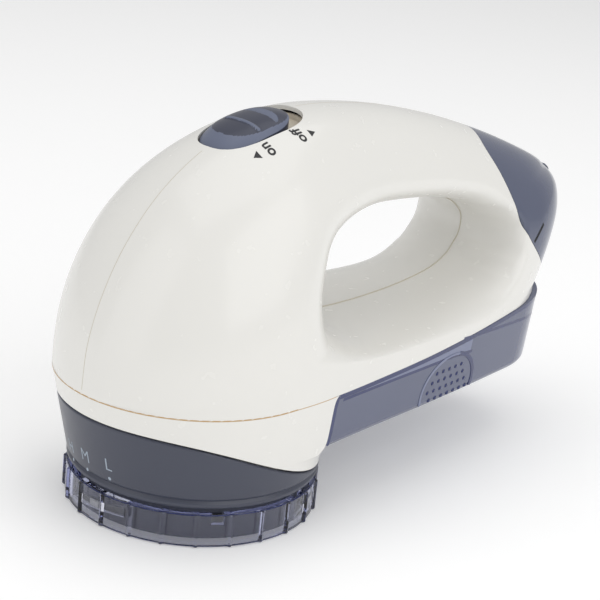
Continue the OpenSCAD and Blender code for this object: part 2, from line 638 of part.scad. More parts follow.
module lint_container() {
  zs = [box_floor_z, box_floor_z + 2, 40, 54];
  insets = [1.6, 0.2, 0.2, 0.2];
  shelf_z = rail_z + 1.5;
  color(smoke) {
    difference() {
      intersection() {
        stack([for (i = [0 : 3]) box_plan(zs[i], insets[i], box_front_x + 0.3)], zs);
        side_slab(-40, -0.15, 18, 156, 120);
      }
      let (hollow = [box_floor_z + box_wall, 60])
        stack([for (z = hollow) box_plan(z, box_wall + 0.2, box_front_x + 0.3 + box_wall)], hollow);
      translate([10, -14, box_floor_z - 1]) cube([26, 28, 15]);
      translate([10, -mouth_y, box_floor_z + box_wall]) cube([15, 2 * mouth_y, 60]);
    }
    // shelves that hang on the base plate's rails
    for (s = [-1, 1]) intersection() {
      translate([44, s > 0 ? rail_y + 1.2 : -rail_y - 31.2, shelf_z]) cube([60, 30, 1.4]);
      stack([for (z = [30, 50]) box_plan(z, 1, box_front_x + 1)], [30, 50]);
    }
  }
}
module lint_gasket() {
  color("black") translate([box_front_x + 0.3, 0, box_floor_z + box_wall]) difference() {
    translate([0, -mouth_y, 0]) cube([box_wall, 2 * mouth_y, 11.4]);
    translate([-1, -13.4, -1]) cube([4, 26.8, 11.2]);
  }
}

// ---- switch ----
switch_out = [switch_x, 0, top_z(switch_x, 0)] - switch_pivot;
switch_r = norm(switch_out);
switch_turn = switch_travel / switch_r * 180 / PI;
// Frame at the pivot whose Z axis points at the button, turned by t
module in_switch(t = 0) {
  translate(switch_pivot) rotate([0, atan2(switch_out[0], switch_out[2]) + t, 0]) children();
}
module switch_well() {
  color(cream) difference() {
    crown_pad(well_x, well_a + 1.2, well_b + 1.2, -5.6, -0.1);
    crown_pad(well_x, well_a, well_b, -3.8, 4);
    in_switch(switch_turn / 2) translate([-6.5, -2.2, switch_r - 12]) cube([13, 4.4, 20]);
  }
}
module switch_button() { color(slate) crown_pad(switch_x, button_a, button_b, -2.9, 0.5, dome = 1.1); }
module switch_slider() {
  color("white") in_switch() {
    translate([-3, -1.8, switch_r - 9.4]) cube([6, 3.6, 6.3]);
    translate([-8, -6, switch_r - 10.4]) cube([16, 12, 1.6]);
  }
}
module switch_body() {
  color("black") in_switch(switch_turn / 2) difference() {
    translate([-11.5, -6.5, switch_r - 20]) cube([23, 13, 8.8]);
    for (x = [-5, 5]) translate([x, 0, switch_r - 21]) cylinder(r = 1, h = 4);
  }
}

// ---- battery bay ----
bay_at = [123.3, 0, 90.8];
bay_y = 7.15;
module in_bay() { translate(bay_at) rotate([0, bay_tilt, 0]) rotate([0, 90, 0]) children(); }
module battery(side) {
  translate([0, side * bay_y, -cell_l / 2]) {
    color([0.15, 0.15, 0.17]) cylinder(d = cell_d, h = cell_l);
    color(steel) translate([0, 0, side > 0 ? cell_l : -1.2]) cylinder(d = 5.4, h = 1.2);
  }
}
module battery_1() { in_bay() battery(-1); }
module battery_2() { in_bay() battery(1); }
module battery_cradle() {
  l = cell_l + 6;
  color(cream) in_bay() difference() {
    translate([0, 0, -l / 2]) linear_extrude(l)
      polygon([[0, -14.75], [2.6, -14.75], [8, -11.5], [8, 11.5], [2.6, 14.75], [0, 14.75]]);
    for (s = [-1, 1]) translate([0, s * bay_y, -l / 2 + 1.2]) cylinder(d = cell_d + 0.5, h = l - 2.4);
    translate([-1, -20, -l / 2 - 1]) cube([3.4, 40, l + 2]);
  }
}
module contact_plate(w, z, side) {
  translate([-5, side, z]) difference() {
    cube([7, w, 0.4]);
    translate([3.4, w / 2, -1]) cylinder(r = 0.8, h = 3);
  }
}
module contact_link() { color(steel) in_bay() contact_plate(24, cell_l / 2 + 1.3, -12); }
module contact_positive() { color(steel) in_bay() contact_plate(9, -cell_l / 2 - 1.75, 3); }
module contact_negative() { color(steel) in_bay() contact_plate(9, -cell_l / 2 - 1.75, -12); }

// ---- wires, held inside the handle ----
// Round tube of radius r along a smooth curve through points
module wire(points, r) {
  sides = 8;
  path = curve(points, 3);
  n = len(path);
  rings = [for (i = [0 : n - 1]) let (t = unit(path[min(i + 1, n - 1)] - path[max(i - 1, 0)]),
    u = unit(cross(t, [0, 1, 0])), v = cross(u, t))
    for (k = [0 : sides - 1]) path[i] + r * (u * cos(360 * k / sides) + v * sin(360 * k / sides))];
  polyhedron(rings, concat(
    [[for (k = [sides - 1 : -1 : 0]) k], [for (k = [0 : sides - 1]) (n - 1) * sides + k]],
    [for (i = [0 : n - 2]) for (k = [0 : sides - 1]) let (a = i * sides + k, b = i * sides + (k + 1) % sides)
      each [[a, b, a + sides], [b, b + sides, a + sides]]]));
}
wire_r = 0.8;
// Route of the lead on one side, from the battery contacts over the handle to the motor
function lead(side) = [for (p = [[97, 6, 104.5], [70, 7, 107], [42, 8, 108], [24, 8, 103], [17, 8, 85],
  [9, 9, 67]]) [p[0], side * p[1], p[2]]];
module wire_red() { color("red") wire(lead(1), wire_r); }
module wire_black() { color([0.1, 0.1, 0.1]) wire(lead(-1), wire_r); }

// ---- battery cover ----
module battery_cover() {
  color(smoke) for (s = [0, 1]) mirror([0, s, 0]) intersection() {
    half_shell();
    cover_region(0);
  }
}
module cover_latch() {
  color(slate) translate([148, -5, 60.6]) cube([4.4, 10, 1.6]);
}

left_housing();
right_housing();
head_skirt();
base_plate();
collar();
motor_deck();
motor_can();
motor_endcap();
motor_damper();
motor_screws();
lint_duct();
switch_well();
switch_body();
battery_cradle();
battery_1();
battery_2();
contact_link();
contact_positive();
contact_negative();
wire_red();
wire_black();
left_bosses();
right_bosses();
housing_screws();
collar_screws();
interlock_switch();
interlock_pin();
motor_shaft();
cutter_hub();
cutter_blades();
cutter_spring();
fan_impeller();
index_ring();
guard_ring();
foil_frame();
foil();
foil_clamp();
switch_button();
switch_slider();
lint_container();
lint_gasket();
battery_cover();
cover_latch();
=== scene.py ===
import json
import math

import bmesh
import bpy
import numpy as np
from mathutils import Matrix, Vector


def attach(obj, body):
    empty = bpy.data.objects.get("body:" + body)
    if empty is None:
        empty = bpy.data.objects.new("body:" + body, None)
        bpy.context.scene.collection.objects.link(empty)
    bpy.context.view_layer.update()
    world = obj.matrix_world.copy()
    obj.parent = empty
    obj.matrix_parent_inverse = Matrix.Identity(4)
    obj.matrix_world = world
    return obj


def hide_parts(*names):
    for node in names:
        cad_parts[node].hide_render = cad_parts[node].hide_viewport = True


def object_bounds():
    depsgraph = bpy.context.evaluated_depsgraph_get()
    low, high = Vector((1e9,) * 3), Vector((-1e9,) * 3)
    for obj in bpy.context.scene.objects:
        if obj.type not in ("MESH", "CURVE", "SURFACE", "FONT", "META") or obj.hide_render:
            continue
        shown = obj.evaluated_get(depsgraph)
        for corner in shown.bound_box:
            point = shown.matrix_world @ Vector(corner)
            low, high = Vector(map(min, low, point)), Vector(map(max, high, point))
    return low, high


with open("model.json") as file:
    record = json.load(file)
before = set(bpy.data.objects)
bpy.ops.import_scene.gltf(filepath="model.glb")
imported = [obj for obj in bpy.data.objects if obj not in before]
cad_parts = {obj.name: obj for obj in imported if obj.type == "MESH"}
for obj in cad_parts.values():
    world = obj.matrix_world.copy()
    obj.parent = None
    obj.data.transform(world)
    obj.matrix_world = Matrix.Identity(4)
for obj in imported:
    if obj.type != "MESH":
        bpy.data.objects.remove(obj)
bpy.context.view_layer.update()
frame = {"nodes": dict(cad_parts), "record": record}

# Fabric shaver. Lengths in this script are millimetres in the CAD frame until a mesh is made:
# -X is the nose, +X the rear, +Z up, and the origin is the centre of the guard ring's lower rim.
MM = 0.001


# ---------------------------------------------------------------- curves

def blend(a, b, c, d, t):
    return 0.5 * (2 * b + (c - a) * t + (2 * a - 5 * b + 4 * c - d) * t ** 2
                  + (3 * b - a - 3 * c + d) * t ** 3)


def curve_at(points, u):
    """Point at u spans along the smooth open curve through points."""
    p = [np.array(q, float) for q in points]
    i = min(int(u), len(p) - 2)
    before = p[i - 1] if i > 0 else 2 * p[0] - p[1]
    after = p[i + 2] if i < len(p) - 2 else 2 * p[-1] - p[-2]
    return blend(before, p[i], p[i + 1], after, u - i)


def curve(points, steps):
    return np.array([curve_at(points, k / steps) for k in range((len(points) - 1) * steps + 1)])


def ring_at(points, u):
    """Point at u spans along the smooth closed curve through points."""
    m = len(points)
    i = int(u) % m
    p = [np.array(points[(i + k) % m], float) for k in (-1, 0, 1, 2)]
    return blend(*p, u - int(u))


def table(points):
    """Sorted columns for np.interp."""
    points = np.array(sorted(map(tuple, points)))
    return points[:, 0], points[:, 1]


# ---------------------------------------------------------------- the housing's shape, as in the CAD

PARTING_Z = 42.2
NOSE_X, NOSE_R = -3.8, 42.2
WALL = 2.2
SHOWN_WALL = 1.3     # thinner than the CAD wall, so that it doesn't fold at the hand hole's tight rim
CROWN_N = 2.25
DRAFT = 0.1
REAR_ROUND, REAR_N = 30, 2.2
HOLE_N = 2.1
FOOT = [151, 52.5]
OUTLINE = [FOOT, [155.5, 60], [161.5, 70], [166.6, 79.5], [167.2, 87], [159, 92.3], [143, 98.8],
           [118, 107.3], [92, 114.2], [66, 119], [42.5, 121], [25, 120.3], [8, 116.7], [-8, 109.5],
           [-22, 99], [-33, 85.7], [-40.5, 71.3], [-44.8, 56.8], [NOSE_X - NOSE_R, PARTING_Z]]
HOLE = [[116.5, 65, 8], [119, 68.5, 7.5], [119.8, 72.5, 7], [119, 76.3, 7], [116, 79.5, 7.5],
        [112, 82, 8.5], [106.5, 84, 9.5], [99, 85.8, 10.5], [84, 88.2, 11.5], [66, 89.5, 13],
        [50, 89.5, 15], [39, 87, 18], [32, 83, 22], [29, 79.5, 24], [27.5, 75, 25], [26.5, 71, 25],
        [26.5, 67, 25], [27, 63.5, 24], [28, 60.5, 22], [29, 58.7, 19], [31, 56.8, 15],
        [34.5, 54.8, 11], [39, 53.4, 8], [44, 52.6, 6.5], [56, 52.2, 5.5], [74, 53, 5.5],
        [92, 55, 6.5], [106, 58, 7.5], [113, 61.5, 8], [115.2, 63.3, 8]]
EDGE_X = [9, 21, 42, 65, 88, 112, 136, FOOT[0]]
EDGE_TURNS = [0, 30, 60, 90]
WIDTHS = [[NOSE_X, NOSE_R], [10, 41.8], [22, 40.4], [45, 37.6], [70, 34.8], [95, 31.6], [120, 28],
          [145, 24.2], [168, 20.5]]
CROWN = table(curve(OUTLINE[4:], 16))
REAR = table([(z, x) for x, z in curve(OUTLINE[:7], 16) if z < 91])
WIDTH = table(curve(WIDTHS, 16))


def edge_z(x):
    return PARTING_Z + (0.0006 * (min(x, FOOT[0]) - 20) ** 2 if x > 20 else 0)


def crown_z(x):
    return float(np.interp(x, *CROWN))


def half_width(x):
    if x < NOSE_X:
        return math.sqrt(max(0, NOSE_R ** 2 - (x - NOSE_X) ** 2))
    return float(np.interp(x, *WIDTH))


def round_off(q, n):
    q = min(max(q, 0), 1)
    return max(0, 1 - (1 - q) ** n) ** (1 / n)


def body_y(x, z):
    """Half width of the body at a point of its side view, without the hand hole."""
    low, high = edge_z(x), crown_z(x)
    if high <= low:
        return 0
    rear = round_off((float(np.interp(z, *REAR)) - x) / REAR_ROUND, REAR_N)
    up = min(max(0, (z - low) / (high - low)), 1)
    return half_width(x) * rear * max(0, 1 - up ** CROWN_N) ** (1 / CROWN_N)


def top_z(x, y):
    q = min(1, abs(y) / half_width(x))
    return edge_z(x) + (crown_z(x) - edge_z(x)) * (1 - q ** CROWN_N) ** (1 / CROWN_N)


def unit(v):
    return v / max(np.linalg.norm(v), 1e-9)


SPAN = 7       # grid columns to a span of the outline
ROWS = 36      # grid rows from the outline to the hand hole
OUTLINE_SPANS = len(OUTLINE) - 1
EDGE_SPANS = len(EDGE_TURNS) + len(EDGE_X) - 1
COLS = (OUTLINE_SPANS + EDGE_SPANS) * SPAN
NOSE_COL = OUTLINE_SPANS * SPAN


def outer_loop(i):
    u = i / SPAN
    if u < OUTLINE_SPANS:
        return curve_at(OUTLINE, u)
    u -= OUTLINE_SPANS
    if u < len(EDGE_TURNS) - 1:
        x = NOSE_X - NOSE_R * math.cos(math.radians(30 * u))
    else:
        xs = [NOSE_X] + EDGE_X
        k = min(int(u) - len(EDGE_TURNS) + 1, len(xs) - 2)
        t = u - len(EDGE_TURNS) + 1 - k
        x = xs[k] * (1 - t) + xs[k + 1] * t
    return np.array([x, edge_z(x)])


def inner_loop(i):
    u = i / SPAN
    last = len(HOLE) - 2
    return ring_at(HOLE, u if u < last else last + 2 * (u - last))


def shell_grid():
    """The left half's outer face: columns round the outline, rows from it to the hand hole."""
    grid = np.zeros((COLS, ROWS + 1, 3))
    for i in range(COLS):
        o, h = outer_loop(i), inner_loop(i)
        run = np.linalg.norm(h[:2] - o)
        start = max(0, 1 - h[2] / run)
        for j in range(ROWS + 1):
            t = (1 - math.cos(math.pi * j / ROWS)) / 2
            x, z = o + (h[:2] - o) * t
            q = max(0, (t - start) / (1 - start))
            seam = j == ROWS or (j == 0 and i <= NOSE_COL)
            y = 0 if seam else body_y(x, z) * max(0, 1 - q ** HOLE_N) ** (1 / HOLE_N)
            grid[i, j] = (x, -y, z)
    return grid


def inner_of(grid, wall):
    """The grid moved inwards by the wall, with its open edges kept in their planes."""
    inner = grid.copy()
    for i in range(COLS):
        for j in range(ROWS + 1):
            a = grid[(i + 1) % COLS][j] - grid[i - 1][j]
            b = grid[i][min(j + 1, ROWS)] - grid[i][max(j - 1, 0)]
            n = np.cross(a, b)
            if j == ROWS or (j == 0 and i <= NOSE_COL):
                n[1] = 0
            if j == 0 and (i >= NOSE_COL or i == 0):
                n[2] = 0
            p = grid[i][j] - wall * unit(n)
            if i >= NOSE_COL:
                p[2] = max(p[2], (grid[i][0][2] + grid[i][j][2]) / 2)
            inner[i, j] = p
    return inner


# ---------------------------------------------------------------- mesh helpers

def new_object(name, mesh):
    obj = bpy.data.objects.new(name, mesh)
    bpy.context.scene.collection.objects.link(obj)
    return obj


def solid(name, points, faces):
    """Object from millimetre points, with its faces turned outwards."""
    mesh = bpy.data.meshes.new(name)
    mesh.from_pydata([[c * MM for c in p] for p in points], [], faces)
    obj = new_object(name, mesh)
    edit(obj, lambda bm: bmesh.ops.recalc_face_normals(bm, faces=bm.faces))
    return obj


def edit(obj, change):
    bm = bmesh.new()
    bm.from_mesh(obj.data)
    change(bm)
    bm.to_mesh(obj.data)
    bm.free()


def bake(obj):
    """Applies the object's modifiers."""
    graph = bpy.context.evaluated_depsgraph_get()
    mesh = bpy.data.meshes.new_from_object(obj.evaluated_get(graph))
    obj.modifiers.clear()
    obj.data = mesh


def carve(obj, tool, operation="DIFFERENCE", keep_tool=False):
    cut = obj.modifiers.new("carve", "BOOLEAN")
    cut.operation = operation
    cut.solver = "EXACT"
    cut.object = tool
    bake(obj)
    if not keep_tool:
        bpy.data.objects.remove(tool)


def join(obj, *others):
    """Adds the others' faces to obj."""
    bm = bmesh.new()
    bm.from_mesh(obj.data)
    for other in others:
        bm.from_mesh(other.data)
    bm.to_mesh(obj.data)
    bm.free()
    for other in others:
        bpy.data.objects.remove(other)
    return obj


def smooth(obj, angle=32):
    obj.data.polygons.foreach_set("use_smooth", [True] * len(obj.data.polygons))
    obj.data.set_sharp_from_angle(angle=math.radians(angle))
    weigh = obj.modifiers.new("normals", "WEIGHTED_NORMAL")
    weigh.keep_sharp = True
    weigh.weight = 90


def stack(name, outlines, heights):
    """Solid through closed plan outlines at their heights."""
    n = len(outlines[0])
    points = [(x, y, z) for outline, z in zip(outlines, heights) for x, y in outline]
    faces = [list(range(n))[::-1], [(len(heights) - 1) * n + k for k in range(n)]]
    for i in range(len(heights) - 1):
        for k in range(n):
            a, b = i * n + k, i * n + (k + 1) % n
            faces.append([a, b, b + n, a + n])
    return solid(name, points, faces)


def side_prism(name, outline, reach=60):
    """Solid across the body from its side view: x, z points."""
    n = len(outline)
    points = [(x, s * reach, z) for s in (-1, 1) for x, z in outline]
    faces = [list(range(n)), [n + k for k in range(n)][::-1]]
    faces += [[k, (k + 1) % n, n + (k + 1) % n, n + k] for k in range(n)]
    return solid(name, points, faces)


def swept(name, sections, closed=True):
    """Solid from closed cross-sections along a closed or an open path."""
    m, n = len(sections), len(sections[0])
    points = [p for s in sections for p in s]
    faces = []
    for i in range(m if closed else m - 1):
        for k in range(n):
            a, b = i * n + k, i * n + (k + 1) % n
            c, d = (i + 1) % m * n + (k + 1) % n, (i + 1) % m * n + k
            faces.append([a, b, c, d])
    if not closed:
        faces += [list(range(n))[::-1], [(m - 1) * n + k for k in range(n)]]
    return solid(name, points, faces)


def ribbon(name, path, normals, width, thick):
    """Thin strip along a path, lying on the surface whose normals are given."""
    sections = []
    for i, p in enumerate(path):
        t = unit(path[min(i + 1, len(path) - 1)] - path[max(i - 1, 0)])
        n = unit(normals[i])
        s = unit(np.cross(n, t)) * width / 2
        sections.append([p - s - n * thick, p + s - n * thick, p + s + n * 0.02, p - s + n * 0.02])
    return swept(name, sections, closed=False)


def box(name, low, high):
    (x0, y0, z0), (x1, y1, z1) = low, high
    return stack(name, [[(x0, y0), (x1, y0), (x1, y1), (x0, y1)]] * 2, [z0, z1])


def sector(name, r1, r2, z1, z2, start, turn, rise=0, steps=16):
    """Block between two radii, which may climb as it turns."""
    sections = []
    for k in range(steps + 1):
        a = math.radians(start + turn * k / steps)
        lift = rise * k / steps
        sections.append([(r * math.cos(a), r * math.sin(a), z + lift)
                         for r, z in ((r1, z1), (r2, z1), (r2, z2), (r1, z2))])
    return swept(name, sections, closed=False)


def lathe(name, profile, steps=180):
    """Ring from a closed profile of radius, height points."""
    sections = []
    for k in range(steps):
        a = 2 * math.pi * k / steps
        sections.append([(r * math.cos(a), r * math.sin(a), z) for r, z in profile])
    return swept(name, sections)


# ---------------------------------------------------------------- materials

class Nodes:
    """A material's node tree, with short ways to add to it."""

    def __init__(self, name):
        self.material = bpy.data.materials.new(name)
        self.material.use_nodes = True
        self.tree = self.material.node_tree
        self.shader = self.tree.nodes["Principled BSDF"]
        self.output = self.tree.nodes["Material Output"]
        self.place = self.add("ShaderNodeTexCoord").outputs["Object"]

    def add(self, kind, **inputs):
        node = self.tree.nodes.new(kind)
        for key, value in inputs.items():
            node.inputs[key.replace("_", " ")].default_value = value
        return node

    def link(self, a, b):
        self.tree.links.new(a, b)

    def noise(self, scale, detail=3.0):
        node = self.add("ShaderNodeTexNoise", Scale=scale, Detail=detail)
        self.link(self.place, node.inputs["Vector"])
        return node.outputs["Fac"]

    def ramp(self, value, low, high):
        """value from 0..1 to low..high."""
        node = self.add("ShaderNodeMapRange")
        node.inputs["To Min"].default_value = low
        node.inputs["To Max"].default_value = high
        self.link(value, node.inputs["Value"])
        return node.outputs["Result"]

    def mix(self, blend_type="MIX"):
        """Colour mix node, its two colour inputs and its colour output."""
        node = self.add("ShaderNodeMix")
        node.data_type = "RGBA"
        node.blend_type = blend_type
        first, second = [s for s in node.inputs if s.type == "RGBA"]
        result, = [s for s in node.outputs if s.type == "RGBA"]
        return node, first, second, result

    def tint(self, value, dark, light):
        """value from 0..1 to a colour between dark and light."""
        node, first, second, result = self.mix()
        first.default_value = (*dark, 1)
        second.default_value = (*light, 1)
        self.link(value, node.inputs["Factor"])
        return result

    def bump(self, height, strength, distance):
        node = self.add("ShaderNodeBump", Strength=strength, Distance=distance)
        self.link(height, node.inputs["Height"])
        self.link(node.outputs["Normal"], self.shader.inputs["Normal"])

    def put(self, **inputs):
        for key, value in inputs.items():
            self.shader.inputs[key.replace("_", " ")].default_value = value


def plastic(name, colour, rough, grain=0.0, coat=0.0, vary=0.03):
    """Moulded plastic: slow colour drift, uneven gloss and a fine moulded grain."""
    n = Nodes(name)
    light = [min(1, c * (1 + vary)) for c in colour]
    dark = [c * (1 - vary) for c in colour]
    n.link(n.tint(n.noise(35), dark, light), n.shader.inputs["Base Color"])
    n.link(n.ramp(n.noise(220), rough * 0.85, rough * 1.15), n.shader.inputs["Roughness"])
    n.bump(n.noise(2200, 1.0), 0.12 + grain, 0.00002 + 0.00006 * grain)
    n.put(Coat_Weight=coat, Coat_Roughness=0.06)
    return n.material


def metal(name, colour, rough, brushed=600):
    """Metal with fine rolling marks."""
    n = Nodes(name)
    stretch = n.add("ShaderNodeMapping")
    stretch.inputs["Scale"].default_value = (1, 14, 1)
    n.link(n.place, stretch.inputs["Vector"])
    marks = n.add("ShaderNodeTexNoise", Scale=brushed, Detail=4.0)
    n.link(stretch.outputs["Vector"], marks.inputs["Vector"])
    n.link(n.ramp(marks.outputs["Fac"], rough * 0.7, rough * 1.4), n.shader.inputs["Roughness"])
    n.link(n.tint(n.noise(60), [c * 0.94 for c in colour], colour), n.shader.inputs["Base Color"])
    n.bump(marks.outputs["Fac"], 0.15, 0.00002)
    n.put(Metallic=1.0)
    return n.material


def smoke(name, colour, alpha, edge, rough=0.12):
    """Smoke-coloured plastic: partly see-through from the front, darker where it is seen edge on."""
    n = Nodes(name)
    facing = n.add("ShaderNodeLayerWeight", Blend=0.35)
    depth = n.tint(facing.outputs["Facing"], colour, edge)
    drift, first, second, result = n.mix("MULTIPLY")
    drift.inputs["Factor"].default_value = 1.0
    n.link(depth, first)
    n.link(n.tint(n.noise(45), (0.93, 0.93, 0.95), (1, 1, 1)), second)
    n.link(result, n.shader.inputs["Base Color"])
    n.link(n.ramp(facing.outputs["Facing"], alpha, min(1, alpha + 0.25)), n.shader.inputs["Alpha"])
    n.link(n.ramp(n.noise(180), rough * 0.8, rough * 1.2), n.shader.inputs["Roughness"])
    n.bump(n.noise(900, 2.0), 0.08, 0.00003)
    n.put(Coat_Weight=0.3, Coat_Roughness=0.05)
    return n.material


def clear(name, through, density):
    """Clear tinted plastic, darker the more of it the light crosses."""
    n = Nodes(name)
    n.link(n.tint(n.noise(60), (0.96, 0.97, 1.0), (1, 1, 1)), n.shader.inputs["Base Color"])
    n.link(n.ramp(n.noise(300), 0.02, 0.06), n.shader.inputs["Roughness"])
    n.bump(n.noise(700, 2.0), 0.1, 0.00004)
    n.put(Transmission_Weight=1.0, IOR=1.5)
    tint = n.add("ShaderNodeVolumeAbsorption", Density=density)
    tint.inputs["Color"].default_value = (*through, 1)
    n.link(tint.outputs["Volume"], n.output.inputs["Volume"])
    return n.material


CREAM = plastic("cream_plastic", (0.8, 0.79, 0.755), 0.26, coat=0.22, vary=0.012)
CREAM_INNER = plastic("cream_moulding", (0.79, 0.77, 0.71), 0.4, grain=0.2, vary=0.02)
SLATE = plastic("slate_plastic", (0.052, 0.058, 0.085), 0.32, grain=0.25, vary=0.05)
# lighter copy of the slate: painted highlight on the button's tilted facets, thumb scoop and ridge
SLATE_LIT = plastic("slate_painted_highlight", (0.13, 0.15, 0.22), 0.36, grain=0.25, vary=0.05)
BUTTON_DARK = plastic("button_plastic", (0.035, 0.04, 0.068), 0.3, grain=0.2, vary=0.05)
SMOKE_BOX = smoke("smoke_box", (0.16, 0.175, 0.24), 0.84, (0.03, 0.045, 0.14))
SMOKE_COVER = smoke("smoke_cover", (0.1, 0.115, 0.17), 0.93, (0.04, 0.055, 0.13))
SMOKE_LIGHT = smoke("smoke_ledge", (0.24, 0.27, 0.38), 0.9, (0.09, 0.11, 0.24))
NAVY = plastic("navy_edge", (0.014, 0.024, 0.11), 0.25, coat=0.2, vary=0.05)
GUARD_CLEAR = clear("guard_clear", (0.5, 0.54, 0.82), 150)
NECK_GREY = plastic("neck_grey", (0.2, 0.19, 0.21), 0.45, grain=0.2, vary=0.05)
PEG_PALE = plastic("peg_pale", (0.5, 0.5, 0.52), 0.4, grain=0.2, vary=0.04)
PARTING = plastic("parting_gasket", (0.5, 0.33, 0.16), 0.5, vary=0.05)
SEAM = plastic("seam_shadow", (0.6, 0.56, 0.47), 0.5, vary=0.04)
INK = plastic("printed_ink", (0.01, 0.01, 0.012), 0.45, grain=0.3, vary=0.1)
PALE_INK = plastic("pale_print", (0.36, 0.42, 0.5), 0.5, grain=0.3, vary=0.05)
SHADOW = plastic("gap_shadow", (0.006, 0.006, 0.009), 0.7, vary=0.1)
# cream darkened to tan: painted shade inside the switch recess
RECESS_SHADED = plastic("recess_cream_shaded", (0.66, 0.6, 0.5), 0.3, grain=0.1, vary=0.03)

SLOT_LOOKS = {
    "cream_abs": CREAM_INNER,
    "slate_abs": SLATE,
    "smoke_clear": GUARD_CLEAR,
    "cover_smoke": SMOKE_COVER,
    "steel": metal("foil_steel", (0.72, 0.72, 0.74), 0.28),
    "motor_steel": metal("zinc_steel", (0.6, 0.61, 0.63), 0.35),
    "white_pom": plastic("acetal", (0.86, 0.86, 0.83), 0.4, grain=0.2, vary=0.02),
    "grey_abs": plastic("grey_moulding", (0.4, 0.4, 0.41), 0.45, grain=0.3, vary=0.03),
    "black_plastic": plastic("black_moulding", (0.012, 0.012, 0.014), 0.4, grain=0.3, vary=0.1),
    "rubber": plastic("soft_rubber", (0.012, 0.012, 0.012), 0.7, grain=0.5, vary=0.1),
    "dark_frame": plastic("frame_moulding", (0.035, 0.036, 0.045), 0.42, grain=0.3, vary=0.06),
    "cell_jacket": plastic("cell_jacket_film", (0.02, 0.022, 0.03), 0.22, coat=0.5, vary=0.08),
    "wire_red": plastic("red_insulation", (0.5, 0.03, 0.02), 0.35, vary=0.05),
    "wire_black": plastic("black_insulation", (0.015, 0.015, 0.015), 0.35, vary=0.08),
    "nickel": metal("nickel_plate", (0.72, 0.69, 0.62), 0.22),
}


def dress(obj, *materials):
    obj.data.materials.clear()
    for material in materials:
        obj.data.materials.append(material)


def place(obj, body, slot, *replaced):
    """Gives the piece its body and hides the CAD nodes that it stands in for. slot is not used."""
    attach(obj, body)
    if replaced:
        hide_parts(*replaced)
    return obj


for part in frame["record"]["subparts"]:
    dress(frame["nodes"][part["node"]], SLOT_LOOKS[part["material_slot"]])


# ---------------------------------------------------------------- housing halves and battery cover

GRID = shell_grid()
INNER = inner_of(GRID, SHOWN_WALL)


def shell(name, side):
    """One half of the moulded body: side is -1 for the left half, 1 for the right."""
    n = COLS * (ROWS + 1)
    points = [(x, -side * y, z) for x, y, z in list(GRID.reshape(-1, 3)) + list(INNER.reshape(-1, 3))]

    def at(i, j):
        return (i % COLS) * (ROWS + 1) + j

    faces = []
    for i in range(COLS):
        for j in range(ROWS):
            faces.append([at(i, j), at(i, j + 1), at(i + 1, j + 1), at(i + 1, j)])
            faces.append([n + at(i, j), n + at(i + 1, j), n + at(i + 1, j + 1), n + at(i, j + 1)])
        faces.append([at(i, 0), at(i + 1, 0), n + at(i + 1, 0), n + at(i, 0)])
        faces.append([at(i + 1, ROWS), at(i, ROWS), n + at(i, ROWS), n + at(i + 1, ROWS)])
    return solid(name, points, faces)


COVER_EDGE = [[114, 113], [112.4, 110], [109.6, 107], [109, 103.5], [112.3, 96.7], [120.8, 81.5],
              [129, 71], [139, 62.1], [150, 56.6], [162, 55], [175, 55]]


def cover_region(gap):
    """Everything behind and above the battery cover's front edge, grown by gap."""
    p = curve(COVER_EDGE, 10)
    side = []
    for k in range(len(p)):
        t = unit(p[min(k + 1, len(p) - 1)] - p[max(k - 1, 0)])
        side.append(p[k] + gap * np.array([t[1], -t[0]]))
    return side_prism("cover_region", side + [(175, 125), (114 - gap, 125)])


# ---------------------------------------------------------------- switch on the crown

SWITCH_X, BUTTON_A, BUTTON_B = 9.6, 13.4, 10.4
TRAVEL = 5
WELL_X = SWITCH_X + TRAVEL / 2
WELL_A, WELL_B = BUTTON_A + TRAVEL / 2 + 0.8, BUTTON_B + 0.8
OVAL_N = 2.6
RIDGE_X = 7.6                    # thumb ridge across the button
RIDGE_LEFT, RIDGE_RIGHT = -8.3, 6.2


def oval(a, b, turn):
    """Point of a rounded oval with half axes a and b."""
    c, s = math.cos(turn), math.sin(turn)
    return (a * math.copysign(abs(c) ** (2 / OVAL_N), c), b * math.copysign(abs(s) ** (2 / OVAL_N), s))


def crown_pad(name, x, a, b, low, high, steps=96, rings=10):
    """Pad that follows the crown. high is a height, or a function of plan x, y and share q."""
    lift = high if callable(high) else lambda u, v, q: high
    points = [(x, 0, top_z(x, 0) + lift(x, 0, 0)), (x, 0, top_z(x, 0) + low)]
    for side in (0, 1):
        for r in range(1, rings + 1):
            for k in range(steps):
                q = r / rings
                u, v = oval(a * q, b * q, 2 * math.pi * k / steps)
                u += x
                points.append((u, v, top_z(u, v) + (lift(u, v, q) if side == 0 else low)))

    def at(side, r, k):
        return 2 + (side * rings + r - 1) * steps + k % steps

    faces = []
    for k in range(steps):
        faces.append([0, at(0, 1, k), at(0, 1, k + 1)])
        faces.append([1, at(1, 1, k + 1), at(1, 1, k)])
        faces.append([at(0, rings, k), at(1, rings, k), at(1, rings, k + 1), at(0, rings, k + 1)])
        for r in range(1, rings):
            faces.append([at(0, r, k), at(0, r + 1, k), at(0, r + 1, k + 1), at(0, r, k + 1)])
            faces.append([at(1, r, k), at(1, r, k + 1), at(1, r + 1, k + 1), at(1, r + 1, k)])
    return solid(name, points, faces)


def outside_plateau(u, v):
    """How far a plan point of the button lies past its flat top, as a share of the top's size."""
    du, dv = (u - SWITCH_X - 1.9) / (BUTTON_A - 2.1), v / (BUTTON_B - 1.5)
    return max(0, (abs(du) ** OVAL_N + abs(dv) ** OVAL_N) ** (1 / OVAL_N) - 1)


def scoop(u, v):
    """Depth share of the thumb scoop: a D with its straight edge forward."""
    reach = 1 - ((v + 0.6) / 7.4) ** 2
    if reach <= 0:
        return 0
    width = 3.4 * math.sqrt(reach)
    along = (u - 14.6) / max(width, 0.3)
    return 1 - along if 0 <= along <= 1 else 0


